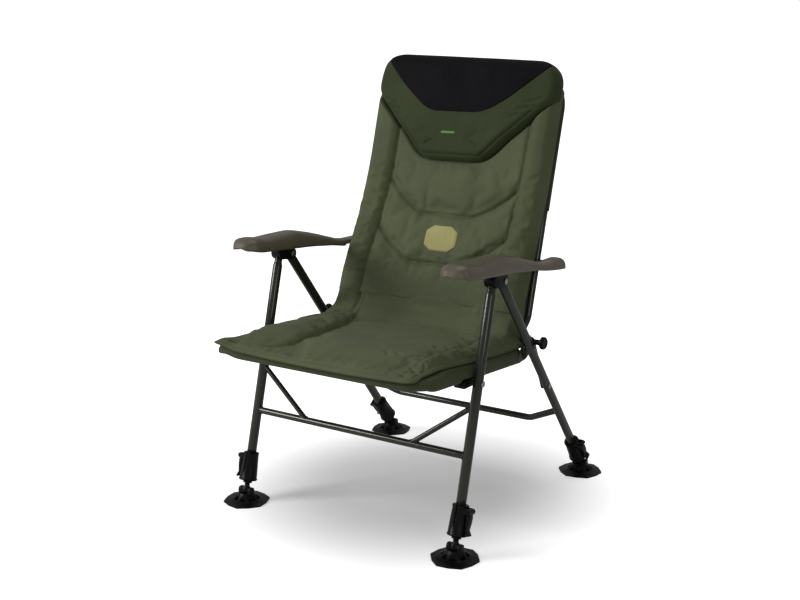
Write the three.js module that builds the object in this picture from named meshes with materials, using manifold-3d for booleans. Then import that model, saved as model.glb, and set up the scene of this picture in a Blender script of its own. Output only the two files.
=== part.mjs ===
// A folding fishing chair with a padded seat and back, moulded armrests and four legs that are set
// to uneven ground one by one. Millimetres: x runs across the chair, y from front to back, z up.
// The origin is on the ground under the middle of the chair's length and width.
import * as THREE from "three";
import { mergeVertices } from "three/addons/utils/BufferGeometryUtils.js";
import Module from "manifold-3d";

const wasm = await Module();
wasm.setup();

// Clearances and overruns
const gap = 0.3; // between pieces that touch
const runningGap = 0.4; // round a pin that turns
const softGap = 0.6; // between padded pieces
const overrun = 2; // how far a cut runs past the face that it opens
const weldTolerance = 1e-3; // vertices closer than this are one

// Driving places in the side view, right-hand side. Ahead is towards the front, from the middle.
const ballHeight = 27; // centre of each foot's ball above the ground
const frontFootAhead = 278;
const rearFootBehind = 332;
const legPivotAhead = 102;
const legPivotHeight = 566; // the rear leg turns here in the top bracket
const seatPivotHeight = 362; // where the seat hangs on the front leg
const backPivotBehindLeg = 35.9; // behind the rear leg's line, level with it
const backPivotRise = 30; // above the seat's pivot
const linkDrop = 117; // from the back's pivot down to the link's pin on the rear leg
const frontTopDrop = 16; // from the rear leg's pivot down to where the front leg's neck starts
const frontTopAhead = 40; // and ahead of it
const armPivotRise = 26; // from the rear leg's pivot up to the armrest's pin
const armPivotAhead = 30; // and ahead of it

// Leg tubes
const frontLeg = { radius: 11, wall: 1.6, neckRadius: 9, neckLength: 26, taper: 8, boreLength: 170 };
const rearLeg = { halfDepth: 12, halfWidth: 7, wall: 1.6, boreLength: 170 };
const innerLeg = { slideGap: 0.5, insideLength: 150, collarRadius: 10.5, collarLength: 6, ballRadius: 12 };
innerLeg.neckRadius = 6.2;

// The pieces on each side, from the seat's tube out to the legs. Each lies just outside the last one.
const seat = { railHalfSpan: 260, railRadius: 10, frontAhead: 364, cornerRadius: 62, riseBend: 24 };
const seatPlate = { thickness: 2.8, pivotRadius: 11, boltPlateRadius: 9, footRadius: 7, boltRadius: 5 };
seatPlate.innerX = seat.railHalfSpan + seat.railRadius + gap;
const link = { radius: 9, thickness: 3, plateGap: 0.7, legGap: 2.2 };
link.innerX = seatPlate.innerX + seatPlate.thickness + link.plateGap;
const knobInner = link.innerX + link.thickness + gap;
const legHalfSpan = link.innerX + link.thickness + link.legGap + rearLeg.halfWidth;
const linkPin = { radius: 4, headRadius: 6.5, headThickness: 1.4 };

// Cross tubes of the front and rear frames
const frontBar = { radius: 8, height: 212 };
const brace = { radius: 6, alongBar: 145 };
brace.riseShare = 0.69333; // of the height from the front bar to the seat's pivot
brace.aboveBar = brace.riseShare * (seatPivotHeight - frontBar.height);
const rearBar = { radius: 8, endHeight: 198, middleHeight: 152, bendInset: 92, bendRadius: 40 };

// Height clamps on the legs
const clamp = { topRadius: 17, bottomRadius: 20.5, length: 66, topHeight: 90, rimHeight: 5, rimLip: 1.8 };
clamp.slotWidth = 2.4;
clamp.slotLength = 46;
clamp.earThickness = 3.6;
clamp.earRadius = 6.4;
clamp.pinRadius = 2.2;
clamp.teeth = 4;
clamp.toothWidth = 3;
clamp.toothPitch = 9;
const lever = { width: 15, thickness: 3.6, length: 50, flareOut: 6, flareLength: 11, eyeRadius: 6 };
lever.pivotDrop = 11; // from the clamp's top to the lever's pin
lever.sideGap = 0.4;
lever.shoulderOut = 9; // how far the blade swells below its eye

// Feet
const foot = { cornerRadius: 54, sideRadius: 43, corners: 6, rimThickness: 4 };
foot.domeRadius = 30;
foot.domeHeight = 19;
foot.cupWall = 5;
foot.cupRim = 22; // height of the cup's rim, just under the ball's middle
foot.earWidth = 17;
foot.earTop = 34;
foot.ribs = 8;
foot.ribThickness = 2.6;
foot.ribHeight = 15;
foot.floor = 2.6;
foot.pocketInner = 22;
foot.pocketOuter = 31;
foot.pocketShare = 0.62; // of the angle between two ribs
foot.cupTopRadius = 19;

// Top bracket, under the armrest
const bracket = { halfWidth: 13, frontRadius: 15, pivotRadius: 13.5, armLugRadius: 9, slotGap: 0.6 };
bracket.frontRise = 22; // from the neck's start up to the centre of its rounded front
bracket.pinRadius = 4;
bracket.headRadius = 7;
bracket.headThickness = 1.8;

// Seat
seat.railRise = 14; // of the rail above the seat's pivot, at the pivot
seat.slopeShare = 0.07; // fall towards the back
seat.topBeyondPivot = 12;
seat.clothWall = 2.2;
seat.layerHeight = 24; // from the rail's middle to the top of the lower layer
seat.coverShort = 42; // how far each layer ends ahead of the back's pivot
seat.cushionShort = 24;
seat.cushionSide = 4; // how far the mattress reaches past the tube, at the side and at the front
seat.cushionFront = 22;
seat.cushionThickness = 22;
seat.bolsterRise = 13;
seat.bolsterWidth = 70;
seat.edgeRoll = 26;

const seatClip = { length: 76, height: 15, wallInside: 1, wallOutside: 2, scallopMargin: 4 };
seatClip.innerX = seat.railHalfSpan - seat.railRadius - seatClip.wallInside;
seatClip.outerX = seat.railHalfSpan + seat.railRadius + seatClip.wallOutside;
seatClip.boltRadius = 3.2;
seatClip.boltHead = 2;
seatClip.boltSpacing = 30;
const seatPin = { radius: 4, headRadius: 7, headThickness: 2.4 };
seatPlate.boltAhead = 38; // of the back's pivot
seatPlate.boltDrop = 8;
seatPlate.footAhead = 60;
seatPlate.boltHead = 4;

// Back pivot hardware
const disc = { radius: 16, thickness: 4.4, boltRadius: 4, teeth: 16, toothDepth: 1.2, headRadius: 7 };
disc.headThickness = 3;
const knob = { radius: 14.5, thickness: 11, stemRadius: 6.5, lobes: 6, lobeRadius: 5, lobeDepth: 1.6 };
knob.legGap = 4; // between the rear leg's flat and the wheel
knob.faceX = legHalfSpan + rearLeg.halfWidth + knob.legGap;
knob.rounding = 2.4;
knob.dishRadius = 8;
knob.dishDepth = 1.5;

// Back. Its line runs up the middle of the side tubes.
const back = { tubeRadius: 9, behindPivot: 54, abovePivot: 58, leanDegrees: 16.2 };
back.lean = THREE.MathUtils.degToRad(back.leanDegrees);
back.tubeHalfSpan = seat.railHalfSpan - seat.railRadius - disc.thickness - gap * 2 - back.tubeRadius;
back.tubeHeight = 560; // up the back's line, centre of the top tube
back.cornerRadius = 92;
back.lowerBendBelow = 20; // under the start of the back's line
back.lowerBend = 34;
back.endBeyondPivot = 11;
back.clothWall = 2;
back.sleeveHeight = 233;
back.panelThickness = 3;
back.panelBelow = 22;
back.panelInset = 13; // from the tube's middle
back.cushionBelow = 42;
back.cushionHeight = 548;
back.cushionSide = 12; // how far the mattress reaches past the tube's middle
back.cushionHalfWidth = back.tubeHalfSpan + back.cushionSide;
back.cushionTopInset = 34;
back.cushionThickness = 38;
back.cushionFootSet = 32; // how far the cushion's foot stands off the panel
back.bolsterRise = 13;
back.bolsterWidth = 76;
back.seamDepth = 13;
back.seamWidth = 44;
back.seamRise = 72; // how much higher a seam ends at the bolsters than in its middle
back.upperSeamHeight = 198;
back.lowerSeamHeight = 84;
back.edgeRoll = 26;
back.pillowFootHeight = 340;
back.pillowTopHeight = 590;
back.pillowThickness = 46;
back.pillowSide = 20; // how far the pillow's shoulders reach past the tube's middle
back.pillowHalfWidth = back.tubeHalfSpan + back.pillowSide;
back.pillowTopInset = 60;
back.pillowTopHalfWidth = back.pillowHalfWidth - back.pillowTopInset;
back.pillowFootShare = 0.328125; // of the pillow's half width
back.pillowFootHalfWidth = back.pillowFootShare * back.pillowHalfWidth;
back.shoulderHeight = 492; // where the pillow is widest
back.underPillow = 16; // what is left of the cushion behind the pillow
back.armPinRadius = 4.5;
back.armPinBeyondLeg = 2; // how far its outer end stands outside the leg's line

const headPanel = { topInset: 12, footInset: 8, footHeight: 452, topHeight: 580 };
headPanel.thickness = 3;
headPanel.edge = 8;
headPanel.topHalfWidth = back.pillowTopHalfWidth - headPanel.topInset;
headPanel.footHalfWidth = back.pillowFootHalfWidth - headPanel.footInset;

// Places that follow from the driving ones
const frontFootY = -frontFootAhead;
const rearFootY = rearFootBehind;
const legPivot = { y: -legPivotAhead, z: legPivotHeight };
const frontLegTop = { y: legPivot.y - frontTopAhead, z: legPivot.z - frontTopDrop };
const armPivot = { y: legPivot.y - armPivotAhead, z: legPivot.z + armPivotRise };
const frontSlope = (frontLegTop.y - frontFootY) / (frontLegTop.z - ballHeight);
const frontLean = Math.atan(frontSlope);
const rearSlope = (rearFootY - legPivot.y) / (legPivot.z - ballHeight);
const rearLean = Math.atan(rearSlope);
const onFrontLeg = (z) => ({ y: frontFootY + (z - ballHeight) * frontSlope, z });
const onRearLeg = (z) => ({ y: rearFootY - (z - ballHeight) * rearSlope, z });
const backPivot = onRearLeg(seatPivotHeight + backPivotRise); // the rail, back and link meet here
backPivot.y += backPivotBehindLeg;
const linkPinHeight = backPivot.z - linkDrop;
const seatPivot = onFrontLeg(seatPivotHeight);
const railZ = (y) => seatPivot.z + seat.railRise - seat.slopeShare * (y - seatPivot.y);
const seatTilt = Math.atan(seat.slopeShare);
const seatFrontY = -seat.frontAhead;
const backLine = { y: backPivot.y + back.behindPivot, z: backPivot.z + back.abovePivot };

// Armrests, from front to back
const arm = { width: 68, height: 88, wall: 3.4, pinRadius: 5, bossRadius: 9 };
arm.tipAhead = 154; // of the armrest's pin
arm.lowestDrop = 46; // from the pin down to the arm's lowest edge
arm.guidePinDrop = 31.57; // from the pin down to the guide pin that carries the rear end
arm.beyondGuidePin = 40.9; // how far the rear end reaches past it
arm.squareness = 3.2;
arm.crownPoints = 11;
arm.insideSquareness = 7;
arm.pinBlindEnd = 1.2; // what is left outside the pin's blind hole
arm.ribThickness = 3; // the cross rib at the front end of the guide pin's slot
arm.ribGap = 0.5;
arm.ribDepth = 14;
arm.notchShare = 0.7721; // of the length, where the cut in the inner wall starts
arm.notchReach = 9; // how far the cut in the inner wall reaches under the shoulder
// Sections as shares: along the arm's length, to each side of the leg's line by its width, and the
// top and the walls' lower edge by its height.
const armShares = [
  { along: 0, inward: 0.4118, outward: 0.0882, top: 0.8409, bottom: 0.7273 },
  { along: 0.0103, inward: 0.5441, outward: 0.2206, top: 0.9091, bottom: 0.6705 },
  { along: 0.0411, inward: 0.6324, outward: 0.3088, top: 0.9545, bottom: 0.6364 },
  { along: 0.1417, inward: 0.6691, outward: 0.3309, top: 1, bottom: 0.625 },
  { along: 0.2834, inward: 0.6324, outward: 0.3088, top: 0.9773, bottom: 0.5909 },
  { along: 0.3737, inward: 0.5735, outward: 0.3015, top: 0.9091, bottom: 0.5341 },
  { along: 0.4559, inward: 0.5, outward: 0.2721, top: 0.7841, bottom: 0.4659 },
  { along: 0.538, inward: 0.4265, outward: 0.2279, top: 0.6364, bottom: 0.3864 },
  { along: 0.6201, inward: 0.375, outward: 0.1765, top: 0.5284, bottom: 0.3068 },
  { along: 0.7351, inward: 0.3456, outward: 0.1765, top: 0.4773, bottom: 0.2273 },
  { along: 0.8665, inward: 0.3456, outward: 0.1765, top: 0.3807, bottom: 0.1136 },
  { along: 0.9405, inward: 0.3382, outward: 0.1618, top: 0.2955, bottom: 0.0341 },
  { along: 0.9815, inward: 0.3088, outward: 0.1324, top: 0.2273, bottom: 0 },
  { along: 1, inward: 0.25, outward: 0.0735, top: 0.1591, bottom: 0.0114 },
];
back.armPinUp = (armPivot.z - arm.guidePinDrop - backLine.z) / Math.cos(back.lean);
const guidePin = {
  y: backLine.y + back.armPinUp * Math.sin(back.lean),
  z: backLine.z + back.armPinUp * Math.cos(back.lean),
};
const armTipY = armPivot.y - arm.tipAhead;
arm.length = guidePin.y + arm.beyondGuidePin - armTipY;
const armLowest = armPivot.z - arm.lowestDrop;
arm.sections = armShares.map((share) => ({
  y: armTipY + arm.length * share.along,
  inner: legHalfSpan - arm.width * share.inward,
  outer: legHalfSpan + arm.width * share.outward,
  top: armLowest + arm.height * share.top,
  bottom: armLowest + arm.height * share.bottom,
}));
arm.notchFromY = armTipY + arm.length * arm.notchShare;

// Materials
const paint = (color, roughness, metalness) =>
  new THREE.MeshStandardMaterial({ color, roughness, metalness });
const steel = paint(0x4a4f48, 0.38, 0.7);
const blackPlastic = paint(0x16171a, 0.5, 0);
const brightSteel = paint(0xb8bbbd, 0.3, 0.9);
const armPlastic = paint(0x4d473c, 0.55, 0);
const oliveCloth = paint(0x34401f, 0.92, 0);
const paleOliveCloth = paint(0x404b2c, 0.92, 0);
const blackCloth = paint(0x101114, 0.95, 0);

// Turns a closed geometry into a solid that can be joined and cut.
function solid(geometry) {
  const bare = new THREE.BufferGeometry();
  bare.setAttribute("position", geometry.getAttribute("position"));
  if (geometry.index) bare.setIndex(geometry.index);
  const merged = mergeVertices(bare, weldTolerance);
  const vertProperties = merged.getAttribute("position").array;
  const made = (triVerts) => new wasm.Manifold(new wasm.Mesh({ numProp: 3, vertProperties, triVerts }));
  const faces = [];
  for (let i = 0; i < merged.index.count; i += 3) {
    const [a, b, c] = merged.index.array.slice(i, i + 3);
    if (a !== b && b !== c && c !== a) faces.push([a, b, c]);
  }
  const body = made(new Uint32Array(faces.flat()));
  if (body.volume() > 0) return body;
  return made(new Uint32Array(faces.map(([a, b, c]) => [a, c, b]).flat()));
}

// Turns a solid back into a geometry.
function geometryOf(body) {
  const mesh = body.getMesh();
  const positions = new Float32Array(mesh.numVert * 3);
  for (let i = 0; i < mesh.numVert; i++) {
    positions.set(mesh.vertProperties.subarray(i * mesh.numProp, i * mesh.numProp + 3), i * 3);
  }
  const geometry = new THREE.BufferGeometry();
  geometry.setAttribute("position", new THREE.BufferAttribute(positions, 3));
  geometry.setIndex(new THREE.BufferAttribute(new Uint32Array(mesh.triVerts), 1));
  return geometry;
}

const point = (x, y, z) => new THREE.Vector3(x, y, z);

// A matrix that stands the Y axis of a shape along the line from one point towards another.
function standing(from, to) {
  const direction = to.clone().sub(from).normalize();
  const turn = new THREE.Quaternion().setFromUnitVectors(new THREE.Vector3(0, 1, 0), direction);
  return new THREE.Matrix4().compose(from, turn, new THREE.Vector3(1, 1, 1));
}

// A round bar between two points.
function bar(from, to, radius, sides = 16) {
  const length = from.distanceTo(to);
  const geometry = new THREE.CylinderGeometry(radius, radius, length, sides);
  geometry.translate(0, length / 2, 0);
  return solid(geometry.applyMatrix4(standing(from, to)));
}

// The same for a hole: its flat sides lie just outside the given radius.
const bore = (from, to, radius, sides = 8) => bar(from, to, radius / Math.cos(Math.PI / sides), sides);

// A turned shape: its profile is radius and height, and its axis runs from one point towards another.
function turned(profile, from, to, sides = 20) {
  const outline = profile.map(([radius, height]) => new THREE.Vector2(radius, height));
  return solid(new THREE.LatheGeometry(outline, sides).applyMatrix4(standing(from, to)));
}

// A plate whose outline is drawn in the side view, from one distance off the middle plane to another.
function sidePlate(shape, fromX, toX, segments = 8) {
  const geometry = new THREE.ExtrudeGeometry(shape, {
    depth: toX - fromX,
    bevelEnabled: false,
    curveSegments: segments,
  });
  const axes = new THREE.Matrix4().makeBasis(point(0, 1, 0), point(0, 0, 1), point(1, 0, 0));
  return solid(geometry.applyMatrix4(axes).translate(fromX, 0, 0));
}

// A straight-sided block between two corners.
function block(low, high) {
  const size = high.clone().sub(low);
  const middle = low.clone().add(high).multiplyScalar(1 / 2);
  return solid(new THREE.BoxGeometry(size.x, size.y, size.z).translate(middle.x, middle.y, middle.z));
}

// Closes a row of rings of equal count into one solid, with a fan over each end.
function loft(rings) {
  const count = rings[0].length;
  const positions = [];
  rings.forEach((ring) => ring.forEach((p) => positions.push(p.x, p.y, p.z)));
  const faces = [];
  for (let r = 0; r < rings.length - 1; r++) {
    for (let i = 0; i < count; i++) {
      const a = r * count + i;
      const b = r * count + ((i + 1) % count);
      faces.push(a, b, b + count, a, b + count, a + count);
    }
  }
  [0, rings.length - 1].forEach((r) => {
    const middle = rings[r].reduce((sum, p) => sum.add(p), point(0, 0, 0)).divideScalar(count);
    const centre = positions.length / 3;
    positions.push(middle.x, middle.y, middle.z);
    for (let i = 0; i < count; i++) {
      const a = r * count + i;
      const b = r * count + ((i + 1) % count);
      faces.push(...(r === 0 ? [centre, b, a] : [centre, a, b]));
    }
  });
  const geometry = new THREE.BufferGeometry();
  geometry.setAttribute("position", new THREE.Float32BufferAttribute(positions, 3));
  geometry.setIndex(faces);
  return solid(geometry);
}

// Rounds the corners of a route: each inner corner becomes an arc of the given radius.
function rounded(corners, radii, steps = 6) {
  const route = [corners[0].clone()];
  for (let i = 1; i < corners.length - 1; i++) {
    const before = corners[i - 1].clone().sub(corners[i]).normalize();
    const after = corners[i + 1].clone().sub(corners[i]).normalize();
    const half = before.angleTo(after) / 2;
    const radius = radii[i - 1];
    const reach = radius / Math.tan(half);
    const bisector = before.clone().add(after).normalize();
    const centre = corners[i].clone().addScaledVector(bisector, radius / Math.sin(half));
    const start = corners[i].clone().addScaledVector(before, reach).sub(centre);
    const end = corners[i].clone().addScaledVector(after, reach).sub(centre);
    const axis = start.clone().cross(end).normalize();
    const sweep = Math.PI - 2 * half;
    for (let s = 0; s <= steps; s++) {
      route.push(start.clone().applyAxisAngle(axis, (sweep * s) / steps).add(centre));
    }
  }
  route.push(corners[corners.length - 1].clone());
  return route;
}

// A tube of round or oval section swept along a route. The section keeps its first axis level with
// the given side direction.
function pipe(route, halfWide, halfDeep, side, sides = 14) {
  const rings = route.map((p, i) => {
    const ahead = i < route.length - 1 ? route[i + 1].clone().sub(p).normalize() : null;
    const behind = i > 0 ? p.clone().sub(route[i - 1]).normalize() : null;
    const tangent = (ahead || behind).clone().add(behind || ahead).normalize();
    const out = side.clone().addScaledVector(tangent, -side.dot(tangent)).normalize();
    const across = tangent.clone().cross(out);
    const ring = [];
    for (let k = 0; k < sides; k++) {
      const angle = (2 * Math.PI * k) / sides;
      const wide = out.clone().multiplyScalar(halfWide * Math.cos(angle));
      ring.push(wide.addScaledVector(across, halfDeep * Math.sin(angle)).add(p));
    }
    return ring;
  });
  return loft(rings);
}

// The same, for a flat route whose plane has the given normal: bends keep a true round section.
const flatPipe = (route, radius, normal, sides = 14) => pipe(route, radius, radius, normal, sides);

const joined = (pieces) => pieces.reduce((whole, piece) => whole.add(piece));
const without = (body, cuts) => cuts.reduce((left, cut) => left.subtract(cut), body);

// Eases from 0 to 1 between two values.
const smooth = (value, from, to) => THREE.MathUtils.smoothstep(value, from, to);

// Each leg stands in a frame of its own: its origin is the middle of the foot's ball, and its
// z axis runs up the leg.
const upward = point(0, 0, 1);
const up = (height, lean) => (height - ballHeight) / Math.cos(lean);
const legLength = up(frontLegTop.z, frontLean);
const rearLegLength = up(legPivot.z, rearLean);
const legFoot = clamp.topHeight - clamp.length / 2; // where the outer tubes end, inside their clamps
const levelPin = (height, radius, halfReach, sides = 16) =>
  bar(point(-halfReach, 0, height), point(halfReach, 0, height), radius, sides);
const levelHole = (height, radius, halfReach) =>
  bore(point(-halfReach, 0, height), point(halfReach, 0, height), radius);

// The front leg: a round tube with a narrower neck under the bracket and a bore from its foot.
function frontLegTube() {
  const top = legLength + frontLeg.neckLength;
  const inside = frontLeg.radius - frontLeg.wall;
  const profile = [
    [0, top],
    [frontLeg.neckRadius, top],
    [frontLeg.neckRadius, legLength],
    [frontLeg.radius, legLength - frontLeg.taper],
    [frontLeg.radius, legFoot],
    [inside, legFoot],
    [inside, legFoot + frontLeg.boreLength],
    [0, legFoot + frontLeg.boreLength],
  ].reverse();
  const tube = turned(profile, point(0, 0, 0), upward, 14);
  const pinHeight = up(seatPivotHeight, frontLean);
  const pinHole = levelHole(pinHeight, seatPin.radius + gap, frontLeg.radius + overrun);
  return tube.subtract(pinHole);
}

// An oval bar along the leg's axis, wide across the chair and deep in the side view.
function ovalBar(from, to, halfWide, halfDeep, sides = 16) {
  return pipe([point(0, 0, from), point(0, 0, to)], halfWide, halfDeep, point(1, 0, 0), sides);
}

// The rear leg: an oval tube, flattened round at the bracket's pin and bored from its foot.
function rearLegTube() {
  const { halfDepth, halfWidth, wall } = rearLeg;
  const outside = ovalBar(legFoot, rearLegLength, halfWidth, halfDepth);
  const head = levelPin(rearLegLength, halfDepth, halfWidth);
  const boreTop = legFoot + rearLeg.boreLength;
  const inside = ovalBar(legFoot - overrun, boreTop, halfWidth - wall, halfDepth - wall, 12);
  const topHole = levelHole(rearLegLength, bracket.pinRadius + runningGap, halfWidth + overrun);
  const linkHole = levelHole(up(linkPinHeight, rearLean), linkPin.radius + gap, halfWidth + overrun);
  return without(outside.add(head), [inside, topHole, linkHole]);
}

// What slides in a leg: half sizes of its tube's bore less the sliding gap.
function innerLegSize(isFront) {
  const shrink = innerLeg.slideGap;
  if (isFront) {
    const radius = frontLeg.radius - frontLeg.wall - shrink;
    return { wide: radius, deep: radius };
  }
  const less = rearLeg.wall + shrink;
  return { wide: rearLeg.halfWidth - less, deep: rearLeg.halfDepth - less };
}

// The inner leg: a bar that slides in the tube, with a collar, a neck and the foot's ball.
function innerLegBar(isFront) {
  const { wide, deep } = innerLegSize(isFront);
  const collarTop = clamp.topHeight - clamp.length - gap;
  const collarFoot = collarTop - innerLeg.collarLength;
  const stem = ovalBar(collarTop - gap, legFoot + innerLeg.insideLength, wide, deep, 12);
  const ball = innerLeg.ballRadius;
  const profile = [[0, -ball]];
  const steps = 4;
  const neckHeight = Math.sqrt(ball ** 2 - innerLeg.neckRadius ** 2);
  const endAngle = Math.asin(neckHeight / ball);
  for (let s = 1; s <= steps; s++) {
    const angle = -Math.PI / 2 + ((endAngle + Math.PI / 2) * s) / steps;
    profile.push([ball * Math.cos(angle), ball * Math.sin(angle)]);
  }
  profile.push([innerLeg.neckRadius, collarFoot]);
  profile.push([innerLeg.collarRadius, collarFoot]);
  profile.push([innerLeg.collarRadius, collarTop]);
  profile.push([0, collarTop]);
  return stem.add(turned(profile, point(0, 0, 0), upward, 12));
}

// Outer radius of the clamp's cone at a height up the leg.
const clampRadius = (z) =>
  clamp.topRadius + ((clamp.bottomRadius - clamp.topRadius) * (clamp.topHeight - z)) / clamp.length;
const leverPivotZ = clamp.topHeight - lever.pivotDrop;
const leverPivotX = clampRadius(leverPivotZ) + lever.eyeRadius + runningGap;
const onPin = (y) => point(leverPivotX, y, leverPivotZ);

// The clamp: a cone with a rim at each end, split down its front with a row of notches, and two
// ears that carry the lever's pin on the outer side.
function legClamp(isFront) {
  const top = clamp.topHeight;
  const foot = top - clamp.length;
  const rim = clamp.rimHeight;
  const lip = clamp.rimLip;
  const profile = [
    [0, foot],
    [clamp.bottomRadius, foot],
    [clamp.bottomRadius + lip, foot + rim / 2],
    [clamp.bottomRadius, foot + rim],
    [clampRadius(top - rim), top - rim],
    [clamp.topRadius + lip, top - rim / 2],
    [clamp.topRadius, top],
    [0, top],
  ];
  const cone = turned(profile, point(0, 0, 0), upward, 16);
  const size = innerLegSize(isFront);
  const tubeWide = isFront ? frontLeg.radius : rearLeg.halfWidth;
  const tubeDeep = isFront ? frontLeg.radius : rearLeg.halfDepth;
  const upperBore = ovalBar(legFoot - gap, top + overrun, tubeWide + gap, tubeDeep + gap, 14);
  const slide = innerLeg.slideGap;
  const lowerBore = ovalBar(foot - overrun, legFoot, size.wide + slide, size.deep + slide, 12);
  const outside = clamp.bottomRadius + overrun;
  const halfSlot = clamp.slotWidth / 2;
  const slotFoot = top - clamp.slotLength;
  const slit = block(point(-halfSlot, -outside, slotFoot), point(halfSlot, 0, top + overrun));
  const cuts = [upperBore, lowerBore, slit];
  for (let n = 0; n < clamp.teeth; n++) {
    const z = slotFoot + clamp.toothPitch * (n + 1);
    const notch = clamp.toothWidth;
    const low = point(-notch, -outside, z - notch / 2);
    cuts.push(block(low, point(notch, -clampRadius(z) + notch / 2, z + notch / 2)));
  }
  const halfWidth = lever.width / 2 + lever.sideGap;
  const earEnd = halfWidth + clamp.earThickness;
  const ears = [-1, 1].map((side) => {
    const from = side * halfWidth;
    const to = side * earEnd;
    const disc = bar(onPin(from), onPin(to), clamp.earRadius, 10);
    const low = point(0, Math.min(from, to), leverPivotZ - clamp.earRadius);
    const web = block(low, point(leverPivotX, Math.max(from, to), leverPivotZ + clamp.earRadius));
    return disc.add(web);
  });
  const pin = bar(onPin(-earEnd), onPin(earEnd), clamp.pinRadius, 8);
  return without(joined([cone, ...ears]), cuts).add(pin);
}

// The lever: an eye round the pin, and a blade that lies down the clamp and flares at its tip.
function clampLever() {
  const inner = (drop) => clampRadius(leverPivotZ - drop) + clamp.rimLip + lever.sideGap - leverPivotX;
  const outline = new THREE.Shape();
  const bend = lever.length - lever.flareLength;
  const footIn = inner(bend);
  outline.moveTo(0, lever.eyeRadius);
  outline.quadraticCurveTo(lever.shoulderOut, -lever.eyeRadius, footIn + lever.thickness, -bend);
  outline.lineTo(footIn + lever.thickness + lever.flareOut, -lever.length);
  outline.lineTo(footIn + lever.flareOut, -lever.length - lever.thickness / 2);
  outline.lineTo(footIn, -bend - lever.thickness / 2);
  outline.lineTo(inner(lever.eyeRadius), -lever.eyeRadius);
  outline.closePath();
  const options = { depth: lever.width, bevelEnabled: false, curveSegments: 4 };
  const blade = new THREE.ExtrudeGeometry(outline, options);
  blade.rotateX(Math.PI / 2).translate(0, lever.width / 2, 0);
  const half = lever.width / 2;
  const eye = bar(point(0, -half, 0), point(0, half, 0), lever.eyeRadius, 12);
  const reach = half + overrun;
  const hole = bore(point(0, -reach, 0), point(0, reach, 0), clamp.pinRadius + runningGap);
  return solid(blade).add(eye).subtract(hole);
}

// The foot: a pointed dish with a cup for the ball, two ears that hold it, and ribs between pockets.
function mudFoot() {
  const star = new THREE.Shape();
  for (let n = 0; n < foot.corners * 2; n++) {
    const angle = (Math.PI * n) / foot.corners + Math.PI / foot.corners / 2;
    const radius = n % 2 === 0 ? foot.cornerRadius : foot.sideRadius;
    const x = radius * Math.cos(angle);
    const y = radius * Math.sin(angle);
    if (n === 0) star.moveTo(x, y);
    else star.lineTo(x, y);
  }
  star.closePath();
  const rim = solid(new THREE.ExtrudeGeometry(star, { depth: foot.rimThickness, bevelEnabled: false }));
  const ball = innerLeg.ballRadius + runningGap;
  const cupRadius = ball + foot.cupWall;
  const dome = turned(
    [
      [0, 0],
      [foot.sideRadius - foot.cupWall, 0],
      [foot.sideRadius - foot.cupWall, foot.rimThickness],
      [foot.domeRadius, foot.domeHeight / 2],
      [foot.cupTopRadius, foot.domeHeight],
      [cupRadius, foot.cupRim],
      [0, foot.cupRim],
    ],
    point(0, 0, 0),
    upward,
    16,
  );
  const halfEar = foot.earWidth / 2;
  const earBlock = block(point(-cupRadius, -halfEar, foot.floor), point(cupRadius, halfEar, foot.earTop));
  const earRound = bar(point(-cupRadius, 0, ballHeight), point(cupRadius, 0, ballHeight), halfEar, 12);
  const earEnd = foot.earTop + overrun;
  const earTop = block(point(-cupRadius, -halfEar, ballHeight), point(cupRadius, halfEar, earEnd));
  const ears = earBlock.subtract(earTop.subtract(earRound));
  const step = (2 * Math.PI) / foot.ribs;
  const cuts = [];
  for (let n = 0; n < foot.ribs; n++) {
    const pocket = new THREE.Shape();
    const middle = step * (n + 1 / 2);
    const half = (step * foot.pocketShare) / 2;
    pocket.absarc(0, 0, foot.pocketOuter, middle - half, middle + half, false);
    pocket.absarc(0, 0, foot.pocketInner, middle + half, middle - half, true);
    const options = { depth: foot.domeHeight, bevelEnabled: false, curveSegments: 1 };
    const body = new THREE.ExtrudeGeometry(pocket, options);
    cuts.push(solid(body.translate(0, 0, foot.rimThickness)));
  }
  const ballCut = new THREE.SphereGeometry(ball / Math.cos(Math.PI / 14), 14, 8);
  const cup = solid(ballCut.translate(0, 0, ballHeight));
  return without(joined([rim, dome, ears]), [...cuts, cup]);
}

// From here on, pieces are built where they lie on the chair's right-hand side, in the chair's frame.
const sideX = (x, place) => point(x, place.y, place.z);
const mirrored = (list) => [...list].reverse().map((p) => point(-p.x, p.y, p.z));

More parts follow.
